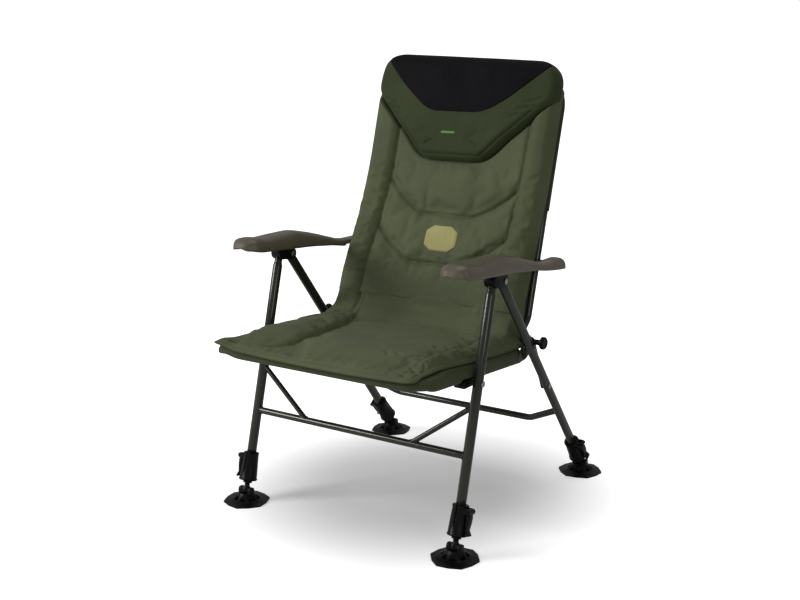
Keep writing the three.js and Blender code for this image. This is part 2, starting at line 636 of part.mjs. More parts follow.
// The top bracket: one moulding round the front leg's neck, two ears round the rear leg's head,
// and a lug for the armrest.
function topBracket() {
  const front = onFrontLeg(frontLegTop.z + bracket.frontRise);
  const inX = legHalfSpan - bracket.halfWidth;
  const outX = legHalfSpan + bracket.halfWidth;
  const circles = [
    { place: front, radius: bracket.frontRadius },
    { place: legPivot, radius: bracket.pivotRadius },
    { place: armPivot, radius: bracket.armLugRadius },
  ];
  const shape = outlineOf(circles);
  const body = sidePlate(shape, inX, outX);
  const legTop = onFrontLeg(frontLegTop.z + frontLeg.neckLength * Math.cos(frontLean) + gap);
  const socket = bore(
    sideX(legHalfSpan, onFrontLeg(frontLegTop.z - frontLeg.neckLength)),
    sideX(legHalfSpan, legTop),
    frontLeg.neckRadius + gap,
    14,
  );
  const shoulder = bore(
    sideX(legHalfSpan, onFrontLeg(frontLegTop.z - frontLeg.neckLength)),
    sideX(legHalfSpan, onFrontLeg(frontLegTop.z + gap)),
    frontLeg.radius + gap,
    14,
  );
  const slotRadius = rearLeg.halfDepth + bracket.slotGap;
  const halfSlot = rearLeg.halfWidth + bracket.slotGap;
  const slotIn = sideX(legHalfSpan - halfSlot, legPivot);
  const slotOut = sideX(legHalfSpan + halfSlot, legPivot);
  const slot = bar(slotIn, slotOut, slotRadius, 16);
  const reach = bracket.pivotRadius + overrun;
  const opening = block(
    point(legHalfSpan - halfSlot, legPivot.y - slotRadius, legPivot.z - reach * 2),
    point(legHalfSpan + halfSlot, legPivot.y + reach, legPivot.z),
  );
  const back = block(
    point(legHalfSpan - halfSlot, legPivot.y, legPivot.z - reach),
    point(legHalfSpan + halfSlot, legPivot.y + reach, legPivot.z + slotRadius),
  );
  const across = (place, radius) => bore(sideX(inX - overrun, place), sideX(outX + overrun, place), radius);
  const pinHole = across(legPivot, bracket.pinRadius + gap);
  const armHole = across(armPivot, arm.pinRadius + runningGap);
  return without(body, [socket, shoulder, slot, opening, back, pinHole, armHole]);
}

// The side view's outline that a rubber band takes round some circles.
function outlineOf(circles, count = 14) {
  const points = circles.flatMap(({ place, radius }) =>
    Array.from({ length: count }, (_, n) => {
      const angle = (2 * Math.PI * n) / count;
      return { y: place.y + radius * Math.cos(angle), z: place.z + radius * Math.sin(angle) };
    }),
  );
  return new THREE.Shape(hull(points).map((p) => new THREE.Vector2(p.y, p.z)));
}

// The outline that a rubber band would take round some points, anticlockwise.
function hull(points) {
  const sorted = [...points].sort((a, b) => a.y - b.y || a.z - b.z);
  const turn = (o, a, b) => (a.y - o.y) * (b.z - o.z) - (a.z - o.z) * (b.y - o.y);
  const half = (list) => {
    const chain = [];
    for (const p of list) {
      while (chain.length > 1 && turn(chain.at(-2), chain.at(-1), p) <= 0) chain.pop();
      chain.push(p);
    }
    return chain.slice(0, -1);
  };
  return [...half(sorted), ...half(sorted.reverse())];
}

// A pin across the chair with a head at each end.
function headedPin(place, fromX, toX, radius, headRadius, headThickness) {
  const shank = bar(sideX(fromX - headThickness, place), sideX(toX + headThickness, place), radius, 8);
  const inner = bar(sideX(fromX - headThickness, place), sideX(fromX - gap, place), headRadius, 10);
  const outer = bar(sideX(toX + gap, place), sideX(toX + headThickness, place), headRadius, 10);
  return joined([shank, inner, outer]);
}

const bracketPin = () =>
  headedPin(
    legPivot,
    legHalfSpan - bracket.halfWidth,
    legHalfSpan + bracket.halfWidth,
    bracket.pinRadius,
    bracket.headRadius,
    bracket.headThickness,
  );

// The front cross bar, cut to the round of each leg.
function frontCrossBar() {
  const place = onFrontLeg(frontBar.height);
  const whole = bar(sideX(-legHalfSpan, place), sideX(legHalfSpan, place), frontBar.radius, 16);
  return without(whole, [legShadow(1), legShadow(-1)]);
}

// The space that a front leg and its weld gap take.
function legShadow(side) {
  const low = onFrontLeg(frontBar.height - brace.aboveBar);
  const high = onFrontLeg(frontBar.height + brace.aboveBar * 2);
  return bar(sideX(side * legHalfSpan, low), sideX(side * legHalfSpan, high), frontLeg.radius + gap, 20);
}

// A brace from the cross bar up to the leg.
function frontBrace() {
  const low = onFrontLeg(frontBar.height);
  const high = onFrontLeg(frontBar.height + brace.aboveBar);
  const whole = bar(sideX(legHalfSpan - brace.alongBar, low), sideX(legHalfSpan, high), brace.radius, 14);
  const barShadow = bar(sideX(-legHalfSpan, low), sideX(legHalfSpan, low), frontBar.radius + gap, 18);
  const below = block(
    point(0, low.y - frontBar.radius * 2, low.z - frontBar.radius * 2),
    point(legHalfSpan, low.y + frontBar.radius * 2, low.z),
  );
  return without(whole, [barShadow, below, legShadow(1)]);
}

// The rear cross bar: straight in the middle, its ends bent up to the rear legs in their own plane.
function rearCrossBar() {
  const end = onRearLeg(rearBar.endHeight);
  const middle = onRearLeg(rearBar.middleHeight);
  const bendX = legHalfSpan - rearBar.bendInset;
  const right = [sideX(bendX, middle), sideX(legHalfSpan, end)];
  const corners = [...mirrored(right), ...right];
  const route = rounded(corners, [rearBar.bendRadius, rearBar.bendRadius], 4);
  const normal = point(0, Math.cos(rearLean), Math.sin(rearLean));
  const whole = flatPipe(route, rearBar.radius, normal, 12);
  const from = onRearLeg(rearBar.middleHeight - rearBar.radius * 2);
  const to = onRearLeg(rearBar.endHeight + rearBar.radius * 3);
  const shadow = (side) =>
    pipe(
      [sideX(side * legHalfSpan, from), sideX(side * legHalfSpan, to)],
      rearLeg.halfWidth + gap,
      rearLeg.halfDepth + gap,
      point(1, 0, 0),
      16,
    );
  return without(whole, [shadow(1), shadow(-1)]);
}

// The seat's frame: one tube bent round the front corners, its rear ends bent up to the back pivot.
function seatRoute() {
  const x = seat.railHalfSpan;
  const rear = backPivot.y;
  const top = backPivot.z + seat.topBeyondPivot;
  return [
    point(-x, rear, top),
    point(-x, rear, railZ(rear)),
    point(-x, seatFrontY, railZ(seatFrontY)),
    point(x, seatFrontY, railZ(seatFrontY)),
    point(x, rear, railZ(rear)),
    point(x, rear, top),
  ];
}

function seatTube() {
  const bends = [seat.riseBend, seat.cornerRadius, seat.cornerRadius, seat.riseBend];
  const route = rounded(seatRoute(), bends, 4);
  const tube = sweptRound(route, seat.railRadius, 12);
  const reach = seat.railHalfSpan + seat.railRadius + overrun;
  const hole = bore(sideX(-reach, backPivot), sideX(reach, backPivot), disc.boltRadius + runningGap);
  return tube.subtract(hole);
}

// A round tube along a route that bends in more than one plane: each ring is carried on from the
// last one with no twist.
function sweptRound(route, radius, sides) {
  const tangents = route.map((p, i) => {
    const next = route[Math.min(i + 1, route.length - 1)];
    const last = route[Math.max(i - 1, 0)];
    return next.clone().sub(p).normalize().add(p.clone().sub(last).normalize()).normalize();
  });
  let out = tangents[0].clone().cross(point(0, 0, 1));
  if (out.length() < weldTolerance) out = tangents[0].clone().cross(point(1, 0, 0));
  out.normalize();
  const rings = route.map((p, i) => {
    if (i > 0) {
      const turn = new THREE.Quaternion().setFromUnitVectors(tangents[i - 1], tangents[i]);
      out.applyQuaternion(turn).normalize();
    }
    const across = tangents[i].clone().cross(out);
    return Array.from({ length: sides }, (_, k) => {
      const angle = (2 * Math.PI * k) / sides;
      const wide = out.clone().multiplyScalar(radius * Math.cos(angle));
      return wide.addScaledVector(across, radius * Math.sin(angle)).add(p);
    });
  });
  return loft(rings);
}

// The seat's soft pieces lie in the rail's frame: its origin is the rail's line under the middle of
// the chair, its y axis runs back along the rails, and its z axis stands on them.
const seatLayers = new THREE.Group();
seatLayers.position.set(0, 0, railZ(0));
seatLayers.rotation.x = -seatTilt;
const onRail = (y) => y / Math.cos(seatTilt);

// The lower layer of the seat: padded cloth on the frame, with a tunnel for the tube, cut away
// round each clip.
function seatCover() {
  const outer = seat.railRadius + gap + seat.clothWall;
  const x = seat.railHalfSpan;
  const front = onRail(seatFrontY);
  const rear = onRail(backPivot.y - seat.coverShort);
  const route = (end) => [point(-x, end, 0), point(-x, front, 0), point(x, front, 0), point(x, end, 0)];
  const bends = [seat.cornerRadius, seat.cornerRadius];
  const sleeve = sweptRound(rounded(route(rear), bends, 4), outer, 12);
  const tunnel = sweptRound(rounded(route(rear + seat.cornerRadius), bends, 4), seat.railRadius + gap, 12);
  const plan = new THREE.Shape();
  const radius = seat.cornerRadius + outer;
  const half = x + outer;
  plan.moveTo(-half, rear);
  plan.lineTo(-half, front - outer + radius);
  plan.absarc(-half + radius, front - outer + radius, radius, Math.PI, 1.5 * Math.PI, false);
  plan.absarc(half - radius, front - outer + radius, radius, 1.5 * Math.PI, 2 * Math.PI, false);
  plan.lineTo(half, rear);
  plan.closePath();
  const depth = seat.layerHeight - seat.railRadius - gap;
  const slab = new THREE.ExtrudeGeometry(plan, { depth, bevelEnabled: false, curveSegments: 4 });
  slab.translate(0, 0, seat.layerHeight - depth);
  const halfScallop = seatClip.length / 2 + seatClip.scallopMargin;
  const clipY = onRail(seatPivot.y);
  const scallops = [-1, 1].map((side) => {
    const inner = side * (x - outer - overrun);
    const outerX = side * (x + outer + overrun);
    return block(
      point(Math.min(inner, outerX), clipY - halfScallop, -outer - overrun),
      point(Math.max(inner, outerX), clipY + halfScallop, 0),
    );
  });
  const plateCuts = [-1, 1].map((side) => {
    const inner = side * (seatPlate.innerX - gap);
    const outerX = side * (x + outer + overrun);
    const plateFoot = onRail(backPivot.y - seatPlate.footAhead - seatPlate.footRadius) - gap;
    return block(
      point(Math.min(inner, outerX), plateFoot, -outer - overrun),
      point(Math.max(inner, outerX), rear + overrun, seat.layerHeight + overrun),
    );
  });
  return without(sleeve.add(solid(slab)), [tunnel, ...scallops, ...plateCuts]);
}

// A padded form, lofted from rings across it. Its front is a crowned surface that draws in to an
// edge all round, and its back follows the layer behind it. The rings lie at the stations between
// its ends, and a lift can bend them along the form.
const edgeShare = 0.08; // of the full thickness that is left at the very edge
const endShares = [0, 0.08, 0.3, 0.65, 1]; // of the roll, where the rings near an end lie
const noLift = () => 0;

function paddedDepth(form, x, s) {
  const round = (inset) => Math.sqrt(1 - (1 - Math.min(Math.max(inset, 0) / form.roll, 1)) ** 2);
  const around = round(Math.min(s - form.from, form.to - s)) * round(form.halfWidth(s) - Math.abs(x));
  return form.backAt(s, x) + form.thickness(x, s) * (edgeShare + (1 - edgeShare) * around);
}

function paddedForm(form) {
  const { from, to, between, across, roll, place, lift = noLift } = form;
  const stations = [
    ...endShares.map((share) => from + share * roll),
    ...between,
    ...[...endShares].reverse().map((share) => to - share * roll),
  ];
  const rings = stations.map((s) => {
    const half = form.halfWidth(s);
    const ring = [];
    for (let i = 0; i <= across; i++) {
      const x = -half * Math.cos((Math.PI * i) / across);
      ring.push(place(x, s + lift(s, x), paddedDepth(form, x, s)));
    }
    for (const x of [half, 0, -half]) ring.push(place(x, s + lift(s, x), form.backAt(s, 0)));
    return ring;
  });
  return loft(rings);
}

// Evenly spaced places strictly between two ends.
const spaced = (from, to, count) =>
  Array.from({ length: count }, (_, n) => from + ((to - from) * (n + 1)) / (count + 1));

// A smooth swell of height 1 and the given width.
function bump(value, middle, width) {
  const t = Math.abs(value - middle) / (width / 2);
  return t >= 1 ? 0 : Math.cos((t * Math.PI) / 2) ** 2;
}

// The seat's mattress: a crowned panel between two rolled side bolsters.
function seatCushion() {
  const halfWidth = seat.railHalfSpan + seat.cushionSide;
  const from = onRail(seatFrontY - seat.cushionFront);
  const cornerInset = (s) => {
    const short = 1 - Math.min((s - from) / seat.cornerRadius, 1);
    return (seat.cushionSide + seat.edgeRoll) * (1 - Math.sqrt(1 - short ** 2));
  };
  const to = onRail(backPivot.y - seat.cushionShort);
  return paddedForm({
    from,
    to,
    between: spaced(from + seat.edgeRoll, to - seat.edgeRoll, 7),
    across: 18,
    halfWidth: (s) => halfWidth - cornerInset(s),
    backAt: () => seat.layerHeight + gap,
    thickness: (x) => {
      const middle = halfWidth - seat.bolsterWidth / 2;
      return seat.cushionThickness + seat.bolsterRise * bump(Math.abs(x), middle, seat.bolsterWidth);
    },
    roll: seat.edgeRoll,
    place: point,
  });
}

// The clip under each rail: a block hollowed to the tube, with two screws from below.
function seatClipBlock() {
  const half = seatClip.length / 2;
  const halfHeight = seatClip.height / 2;
  const shape = new THREE.Shape();
  const { y, z } = seatPivot;
  const straight = half - halfHeight;
  shape.absarc(y + straight, z, halfHeight, -Math.PI / 2, Math.PI / 2, false);
  shape.absarc(y - straight, z, halfHeight, Math.PI / 2, -Math.PI / 2, false);
  const body = sidePlate(shape, seatClip.innerX, seatClip.outerX, 6);
  const reach = half + overrun;
  const rail = bore(
    point(seat.railHalfSpan, y - reach, railZ(y - reach)),
    point(seat.railHalfSpan, y + reach, railZ(y + reach)),
    seat.railRadius + gap,
    16,
  );
  const hole = bore(
    sideX(seatClip.innerX - overrun, seatPivot),
    sideX(seatClip.outerX + overrun, seatPivot),
    seatPin.radius + runningGap,
  );
  const screws = [-1, 1].map((side) => {
    const at = point(seat.railHalfSpan, y + (side * seatClip.boltSpacing) / 2, z - halfHeight);
    const below = at.clone().setZ(at.z - seatClip.boltHead);
    return bar(below, at.clone().setZ(at.z + overrun), seatClip.boltRadius, 8);
  });
  return joined([body.subtract(rail).subtract(hole), ...screws]);
}

// The pin that hangs the seat on the front leg.
const seatPivotPin = () =>
  headedPin(
    seatPivot,
    seatClip.innerX,
    legHalfSpan + frontLeg.radius,
    seatPin.radius,
    seatPin.headRadius,
    seatPin.headThickness,
  );

// The plate in the corner where the rail turns up, with the bolt that holds it.
function seatSidePlate() {
  const bolt = { y: backPivot.y - seatPlate.boltAhead, z: backPivot.z - seatPlate.boltDrop };
  const footY = backPivot.y - seatPlate.footAhead;
  const circles = [
    { place: backPivot, radius: seatPlate.pivotRadius },
    { place: bolt, radius: seatPlate.boltPlateRadius },
    { place: { y: footY, z: railZ(footY) }, radius: seatPlate.footRadius },
    { place: { y: backPivot.y, z: railZ(backPivot.y) + seat.riseBend }, radius: seatPlate.footRadius },
  ];
  const outer = seatPlate.innerX + seatPlate.thickness;
  const shape = outlineOf(circles);
  const plate = sidePlate(shape, seatPlate.innerX, outer);
  const hole = bore(
    sideX(seatPlate.innerX - overrun, backPivot),
    sideX(outer + overrun, backPivot),
    disc.boltRadius + runningGap,
  );
  const head = bar(
    sideX(seatPlate.innerX, bolt),
    sideX(outer + seatPlate.boltHead, bolt),
    seatPlate.boltRadius,
    6,
  );
  return plate.subtract(hole).add(head);
}

// The link between the back pivot and the rear leg. The knob clamps its plain upper end.
function linkBar() {
  const low = onRearLeg(linkPinHeight);
  const shape = outlineOf([
    { place: backPivot, radius: link.radius },
    { place: low, radius: link.radius },
  ]);
  const outer = link.innerX + link.thickness;
  const body = sidePlate(shape, link.innerX, outer);
  const pinHole = bore(
    sideX(link.innerX - overrun, low),
    sideX(outer + overrun, low),
    linkPin.radius + runningGap,
  );
  return body.subtract(pinHole);
}

const linkPivotPin = () =>
  headedPin(
    onRearLeg(linkPinHeight),
    link.innerX - gap,
    legHalfSpan + rearLeg.halfWidth,
    linkPin.radius,
    linkPin.headRadius,
    linkPin.headThickness,
  );

// The back's frame lies in a frame of its own: y across its thickness towards the rear, z up its line.
const backLayers = new THREE.Group();
backLayers.position.set(0, backLine.y, backLine.z);
backLayers.rotation.x = -back.lean;
function inBackFrame(place) {
  const y = place.y - backLine.y;
  const z = place.z - backLine.z;
  const sin = Math.sin(back.lean);
  const cos = Math.cos(back.lean);
  return { y: y * cos - z * sin, z: y * sin + z * cos };
}
const backPivotLocal = inBackFrame(backPivot);

// The side tubes run from under the pivot up to the line of the back and round its top corners.
function backRoute(halfSpan) {
  const bend = point(halfSpan, 0, -back.lowerBendBelow);
  const pivot = point(halfSpan, backPivotLocal.y, backPivotLocal.z);
  const end = pivot.clone().add(pivot.clone().sub(bend).normalize().multiplyScalar(back.endBeyondPivot));
  return [end, bend, point(halfSpan, 0, back.tubeHeight)];
}

function backTube() {
  const right = backRoute(back.tubeHalfSpan);
  const bends = [back.lowerBend, back.cornerRadius, back.cornerRadius, back.lowerBend];
  const tube = sweptRound(rounded([...right, ...mirrored(right)], bends, 4), back.tubeRadius, 12);
  const reach = back.tubeHalfSpan + back.tubeRadius + overrun;
  const pivotHole = bore(
    point(-reach, backPivotLocal.y, backPivotLocal.z),
    point(reach, backPivotLocal.y, backPivotLocal.z),
    disc.boltRadius + runningGap,
  );
  const pinUp = back.armPinUp;
  const pinHole = bore(point(-reach, 0, pinUp), point(reach, 0, pinUp), back.armPinRadius + gap);
  return without(tube, [pivotHole, pinHole]);
}

// The guide pin that the armrest's channel runs on.
function armGuidePin() {
  const inner = back.tubeHalfSpan - back.tubeRadius;
  const outer = legHalfSpan + back.armPinBeyondLeg;
  return bar(point(inner, 0, back.armPinUp), point(outer, 0, back.armPinUp), back.armPinRadius, 12);
}

// The back's cloth: a sleeve round the upper tubes and a panel stretched across their front.
function backCover() {
  const outer = back.tubeRadius + gap + back.clothWall;
  const x = back.tubeHalfSpan;
  const route = (from) => [
    point(x, 0, from),
    point(x, 0, back.tubeHeight),
    point(-x, 0, back.tubeHeight),
    point(-x, 0, from),
  ];
  const bends = [back.cornerRadius, back.cornerRadius];
  const sleeve = sweptRound(rounded(route(back.sleeveHeight), bends, 4), outer, 12);
  const tunnel = sweptRound(rounded(route(back.sleeveHeight - outer), bends, 4), back.tubeRadius + gap, 12);
  const plan = new THREE.Shape();
  const top = back.tubeHeight + back.tubeRadius;
  const corner = back.cornerRadius + back.tubeRadius;
  const wide = x + back.tubeRadius;
  const low = back.tubeHalfSpan - back.panelInset;
  plan.moveTo(-low, -back.panelBelow);
  plan.lineTo(low, -back.panelBelow);
  plan.lineTo(low, back.sleeveHeight);
  plan.lineTo(wide, back.sleeveHeight);
  plan.absarc(wide - corner, top - corner, corner, 0, Math.PI / 2, false);
  plan.absarc(corner - wide, top - corner, corner, Math.PI / 2, Math.PI, false);
  plan.lineTo(-wide, back.sleeveHeight);
  plan.lineTo(-low, back.sleeveHeight);
  plan.closePath();
  const options = { depth: back.panelThickness, bevelEnabled: false, curveSegments: 4 };
  const panel = new THREE.ExtrudeGeometry(plan, options);
  panel.rotateX(Math.PI / 2).translate(0, back.panelThickness - outer, 0);
  return sleeve.add(solid(panel)).subtract(tunnel);
}

const panelFront = back.tubeRadius + gap + back.clothWall;
const backPlace = (x, s, depth) => point(x, -depth, s);
const pillowBack = panelFront + gap * 2 + back.underPillow;

// The pillow's shape: widest at its shoulder, narrowing to a hanging foot, grown by a margin.
function pillowShape(grow) {
  const { pillowFootHeight, pillowTopHeight, shoulderHeight } = back;
  const { pillowHalfWidth, pillowTopHalfWidth, pillowFootHalfWidth } = back;
  const halfWidth = (s) => {
    if (s < shoulderHeight) {
      const share = THREE.MathUtils.clamp((s - pillowFootHeight) / (shoulderHeight - pillowFootHeight), 0, 1);
      return grow + pillowFootHalfWidth + (pillowHalfWidth - pillowFootHalfWidth) * share;
    }
    const share = Math.min((s - shoulderHeight) / (pillowTopHeight - shoulderHeight), 1);
    return grow + pillowTopHalfWidth + (pillowHalfWidth - pillowTopHalfWidth) * Math.sqrt(1 - share ** 2);
  };
  return {
    from: pillowFootHeight - grow,
    to: pillowTopHeight + grow,
    between: [
      ...spaced(pillowFootHeight + back.edgeRoll, shoulderHeight, 4),
      shoulderHeight,
      (shoulderHeight + pillowTopHeight) / 2,
    ],
    across: 18,
    halfWidth,
    backAt: () => pillowBack - grow,
    thickness: () => back.pillowThickness + grow * 2,
    roll: back.edgeRoll + grow,
    place: backPlace,
  };
}

// The back's mattress: side bolsters and a panel that two hanging seams cross. Its foot stands off
// the cloth behind it, and the pillow hangs in front of its head.
function backCushion() {
  const from = -back.cushionBelow;
  const { cushionHeight: to, edgeRoll, seamWidth, seamRise, upperSeamHeight, lowerSeamHeight } = back;
  const panelHalf = back.cushionHalfWidth - back.bolsterWidth;
  const shoulder = back.shoulderHeight - edgeRoll;
  const aroundSeam = (seam) => [-1, -0.4, 0, 0.4, 1].map((share) => seam + (share * seamWidth) / 2);
  const hang = (x) => Math.min(Math.abs(x) / panelHalf, 1) ** 2;
  const seamed = (x, s) => {
    if (Math.abs(x) >= panelHalf) return 0;
    return Math.max(bump(s, upperSeamHeight, seamWidth), bump(s, lowerSeamHeight, seamWidth));
  };
    const whole = paddedForm({
    from,
    to,
    between: [
      ...spaced(from + edgeRoll, lowerSeamHeight - seamWidth / 2, 1),
      ...aroundSeam(lowerSeamHeight),
      ...spaced(lowerSeamHeight + seamWidth / 2, upperSeamHeight - seamWidth / 2, 2),
      ...aroundSeam(upperSeamHeight),
      ...spaced(upperSeamHeight + seamWidth / 2, to - edgeRoll, 4),
    ],
    across: 16,
    lift: (s, x) => {
      const fade = smooth(s, from, lowerSeamHeight) * (1 - smooth(s, upperSeamHeight, to));
      return seamRise * hang(x) * fade;
    },
    halfWidth: (s) => back.cushionHalfWidth - back.cushionTopInset * smooth(s, shoulder, to),
    backAt: (s) => panelFront + gap + back.cushionFootSet * (1 - smooth(s, from, back.pillowFootHeight)),
    thickness: (x, s) => {
      const bolster = bump(Math.abs(x), back.cushionHalfWidth - back.bolsterWidth / 2, back.bolsterWidth);
      return back.cushionThickness + back.bolsterRise * bolster - back.seamDepth * seamed(x, s);
    },
    roll: edgeRoll,
    place: backPlace,
  });
  return whole.subtract(paddedForm(pillowShape(softGap)));
}

// The dark panel sewn over the front of the pillow.
function headPanelForm() {
  const { topHalfWidth, footHalfWidth, thickness, edge } = headPanel;
  const { footHeight: from, topHeight: to } = headPanel;
  const pillow = pillowShape(0);
  const panel = paddedForm({
    from,
    to,
    between: spaced(from + edge, to - edge, 3),
    across: 10,
    halfWidth: (s) => THREE.MathUtils.mapLinear(s, from, to, footHalfWidth, topHalfWidth),
    backAt: (s, x) => paddedDepth(pillow, x, s) - thickness,
    thickness: () => thickness * 2,
    roll: edge,
    place: backPlace,
  });
  return panel.subtract(paddedForm(pillowShape(softGap)));
}

// The toothed disc between the rail and the back tube, on the pivot's bolt.
function pivotDisc() {
  const discIn = back.tubeHalfSpan + back.tubeRadius + gap;
  const discOut = discIn + disc.thickness;
  const boltIn = back.tubeHalfSpan - back.tubeRadius - gap;
  const outline = new THREE.Shape();
  for (let n = 0; n < disc.teeth * 2; n++) {
    const angle = (Math.PI * n) / disc.teeth;
    const radius = disc.radius - (n % 2) * disc.toothDepth;
    const y = backPivot.y + radius * Math.cos(angle);
    const z = backPivot.z + radius * Math.sin(angle);
    if (n === 0) outline.moveTo(y, z);
    else outline.lineTo(y, z);
  }
  outline.closePath();
  const plate = sidePlate(outline, discIn, discOut);
  const boltOut = seatPlate.innerX + seatPlate.thickness + gap;
  const bolt = bar(sideX(boltIn - gap, backPivot), sideX(boltOut, backPivot), disc.boltRadius, 8);
  const headIn = sideX(boltIn - disc.headThickness, backPivot);
  const head = bar(headIn, sideX(boltIn, backPivot), disc.headRadius, 6);
  return joined([plate, bolt, head]);
}

// The clamp knob: a stem that passes behind the rear leg and a lobed wheel outside it.
function clampKnob() {
  const wheelIn = knob.faceX;
  const wheelOut = wheelIn + knob.thickness;
  const profile = [
    [0, 0],
    [knob.radius - knob.rounding, 0],
    [knob.radius, knob.rounding],
    [knob.radius, knob.thickness - knob.rounding],
    [knob.radius - knob.rounding, knob.thickness],
    [knob.dishRadius, knob.thickness],
    [knob.dishRadius - knob.dishDepth, knob.thickness - knob.dishDepth],
    [0, knob.thickness - knob.dishDepth],
  ];
  const wheel = turned(profile, sideX(wheelIn, backPivot), sideX(wheelOut, backPivot), 18);
  const grooves = Array.from({ length: knob.lobes }, (_, n) => {
    const angle = (2 * Math.PI * n) / knob.lobes;
    const reach = knob.radius + knob.lobeRadius - knob.lobeDepth;
    const place = { y: backPivot.y + reach * Math.cos(angle), z: backPivot.z + reach * Math.sin(angle) };
    return bar(sideX(wheelIn - overrun, place), sideX(wheelOut + overrun, place), knob.lobeRadius, 8);
  });
  const stemEnd = sideX(wheelIn + knob.rounding, backPivot);
  const stem = bar(sideX(knobInner, backPivot), stemEnd, knob.stemRadius, 12);
  return without(wheel, grooves).add(stem);
}

// The outline of the armrest across the chair at one section: a squared arch over level wall ends,
// drawn in by an inset.
function armRing(section, inset, squareness) {
  const middle = (section.inner + section.outer) / 2;
  const half = (section.outer - section.inner) / 2 - inset;
  const floor = section.bottom - (inset > 0 ? overrun : 0);
  const height = section.top - inset - floor;
  const power = 2 / squareness;
  const arch = Array.from({ length: arm.crownPoints }, (_, n) => {
    const angle = (Math.PI * n) / (arm.crownPoints - 1);
    const across = Math.sign(Math.cos(angle)) * Math.abs(Math.cos(angle)) ** power;
    return point(middle + half * across, section.y, floor + height * Math.sin(angle) ** power);
  });
  return [...arch, point(middle, section.y, floor)];
}

// The armrest: a shell open below, with two bosses for its pin. Its inner wall is cut away where the
// guide pin runs, and a cross rib ends the pin's slot.
function armrestShell() {
  const sections = arm.sections;
  const front = sections[0].y + arm.wall * 2;
  const rear = sections[sections.length - 1].y - arm.wall;
  const outside = loft(sections.map((section) => armRing(section, 0, arm.squareness)));
  const places = sections.map((section) => section.y);
  const inside = places.filter((y) => y > front + arm.wall && y < rear - arm.wall);
  const hollow = loft(
    [front, ...inside, rear].map((y) => armRing(sectionAt(y), arm.wall, arm.insideSquareness)),
  );
  const section = sectionAt(armPivot.y);
  const boss = (from, to) => {
    const low = point(from, armPivot.y - arm.bossRadius, armPivot.z);
    const high = point(to, armPivot.y + arm.bossRadius, section.bottom + arm.bossRadius);
    return bar(sideX(from, armPivot), sideX(to, armPivot), arm.bossRadius, 12).add(block(low, high));
  };
  const cheek = bracket.halfWidth + gap;
  const bosses = [
    boss(section.inner + arm.pinBlindEnd, legHalfSpan - cheek),
    boss(legHalfSpan + cheek, section.outer - arm.pinBlindEnd),
  ];
  const [pinFrom, pinTo] = armPinEnds();
  const pinHole = bore(sideX(pinFrom - gap, armPivot), sideX(pinTo + gap, armPivot), arm.pinRadius + gap);
  const under = (y) => new THREE.Vector2(y, sectionAt(y).top - arm.wall);
  const below = sections[sections.length - 1].bottom - arm.bossRadius;
  const bends = places.filter((y) => y > arm.notchFromY && y < rear);
  const notch = new THREE.Shape([
    ...[arm.notchFromY, ...bends, rear].map(under),
    new THREE.Vector2(rear, below),
    new THREE.Vector2(arm.notchFromY, below),
  ]);
  const inner = sectionAt(arm.notchFromY).inner;
  const slot = sidePlate(notch, inner - overrun, inner + arm.notchReach);
  const ribBack = guidePin.y - back.armPinRadius - arm.ribGap;
  const ribTop = sectionAt(ribBack).top - arm.wall / 2;
  const rib = block(
    point(inner + arm.notchReach, ribBack - arm.ribThickness, ribTop - arm.ribDepth),
    point(sectionAt(ribBack).outer - arm.wall / 2, ribBack, ribTop),
  );
  return without(joined([outside.subtract(hollow), ...bosses]), [pinHole, slot]).add(rib);
}

// The ends of the armrest's pin, in the blind holes of its bosses.
function armPinEnds() {
  const section = sectionAt(armPivot.y);
  return [section.inner + arm.wall, section.outer - arm.wall];
}

// The armrest's section at any place, between the listed ones.
function sectionAt(y) {
  const sections = arm.sections;
  const next = sections.findIndex((section) => section.y >= y);
  const high = sections[Math.max(next, 1)];
  const low = sections[Math.max(next, 1) - 1];
  const t = (y - low.y) / (high.y - low.y);
  const mix = (name) => low[name] + (high[name] - low[name]) * t;
  return { y, inner: mix("inner"), outer: mix("outer"), top: mix("top"), bottom: mix("bottom") };
}

// The armrest's pin, held in its bosses and free in the bracket's lug.
function armPivotPin() {
  const [from, to] = armPinEnds();
  return bar(sideX(from, armPivot), sideX(to, armPivot), arm.pinRadius, 10);
}

// Assembly
const chair = new THREE.Group();
chair.name = "folding_chair";

function piece(group, name, body, material) {
  const mesh = new THREE.Mesh(geometryOf(body), material);
  mesh.name = name;
  group.add(mesh);
}

// The same piece on both sides: the left one is the right one mirrored.
function pair(group, name, body, material) {
  for (const [side, sign] of [["right", 1], ["left", -1]]) {
    const half = new THREE.Group();
    half.scale.x = sign;
    group.add(half);
    piece(half, `${name}_${side}`, body, material);
  }
}

// A leg's frame, stood at its foot and leant along the leg.
function legFrame(footY, turn) {
  const frame = new THREE.Group();
  frame.position.set(legHalfSpan, footY, ballHeight);
  frame.rotation.x = turn;
  return frame;
}

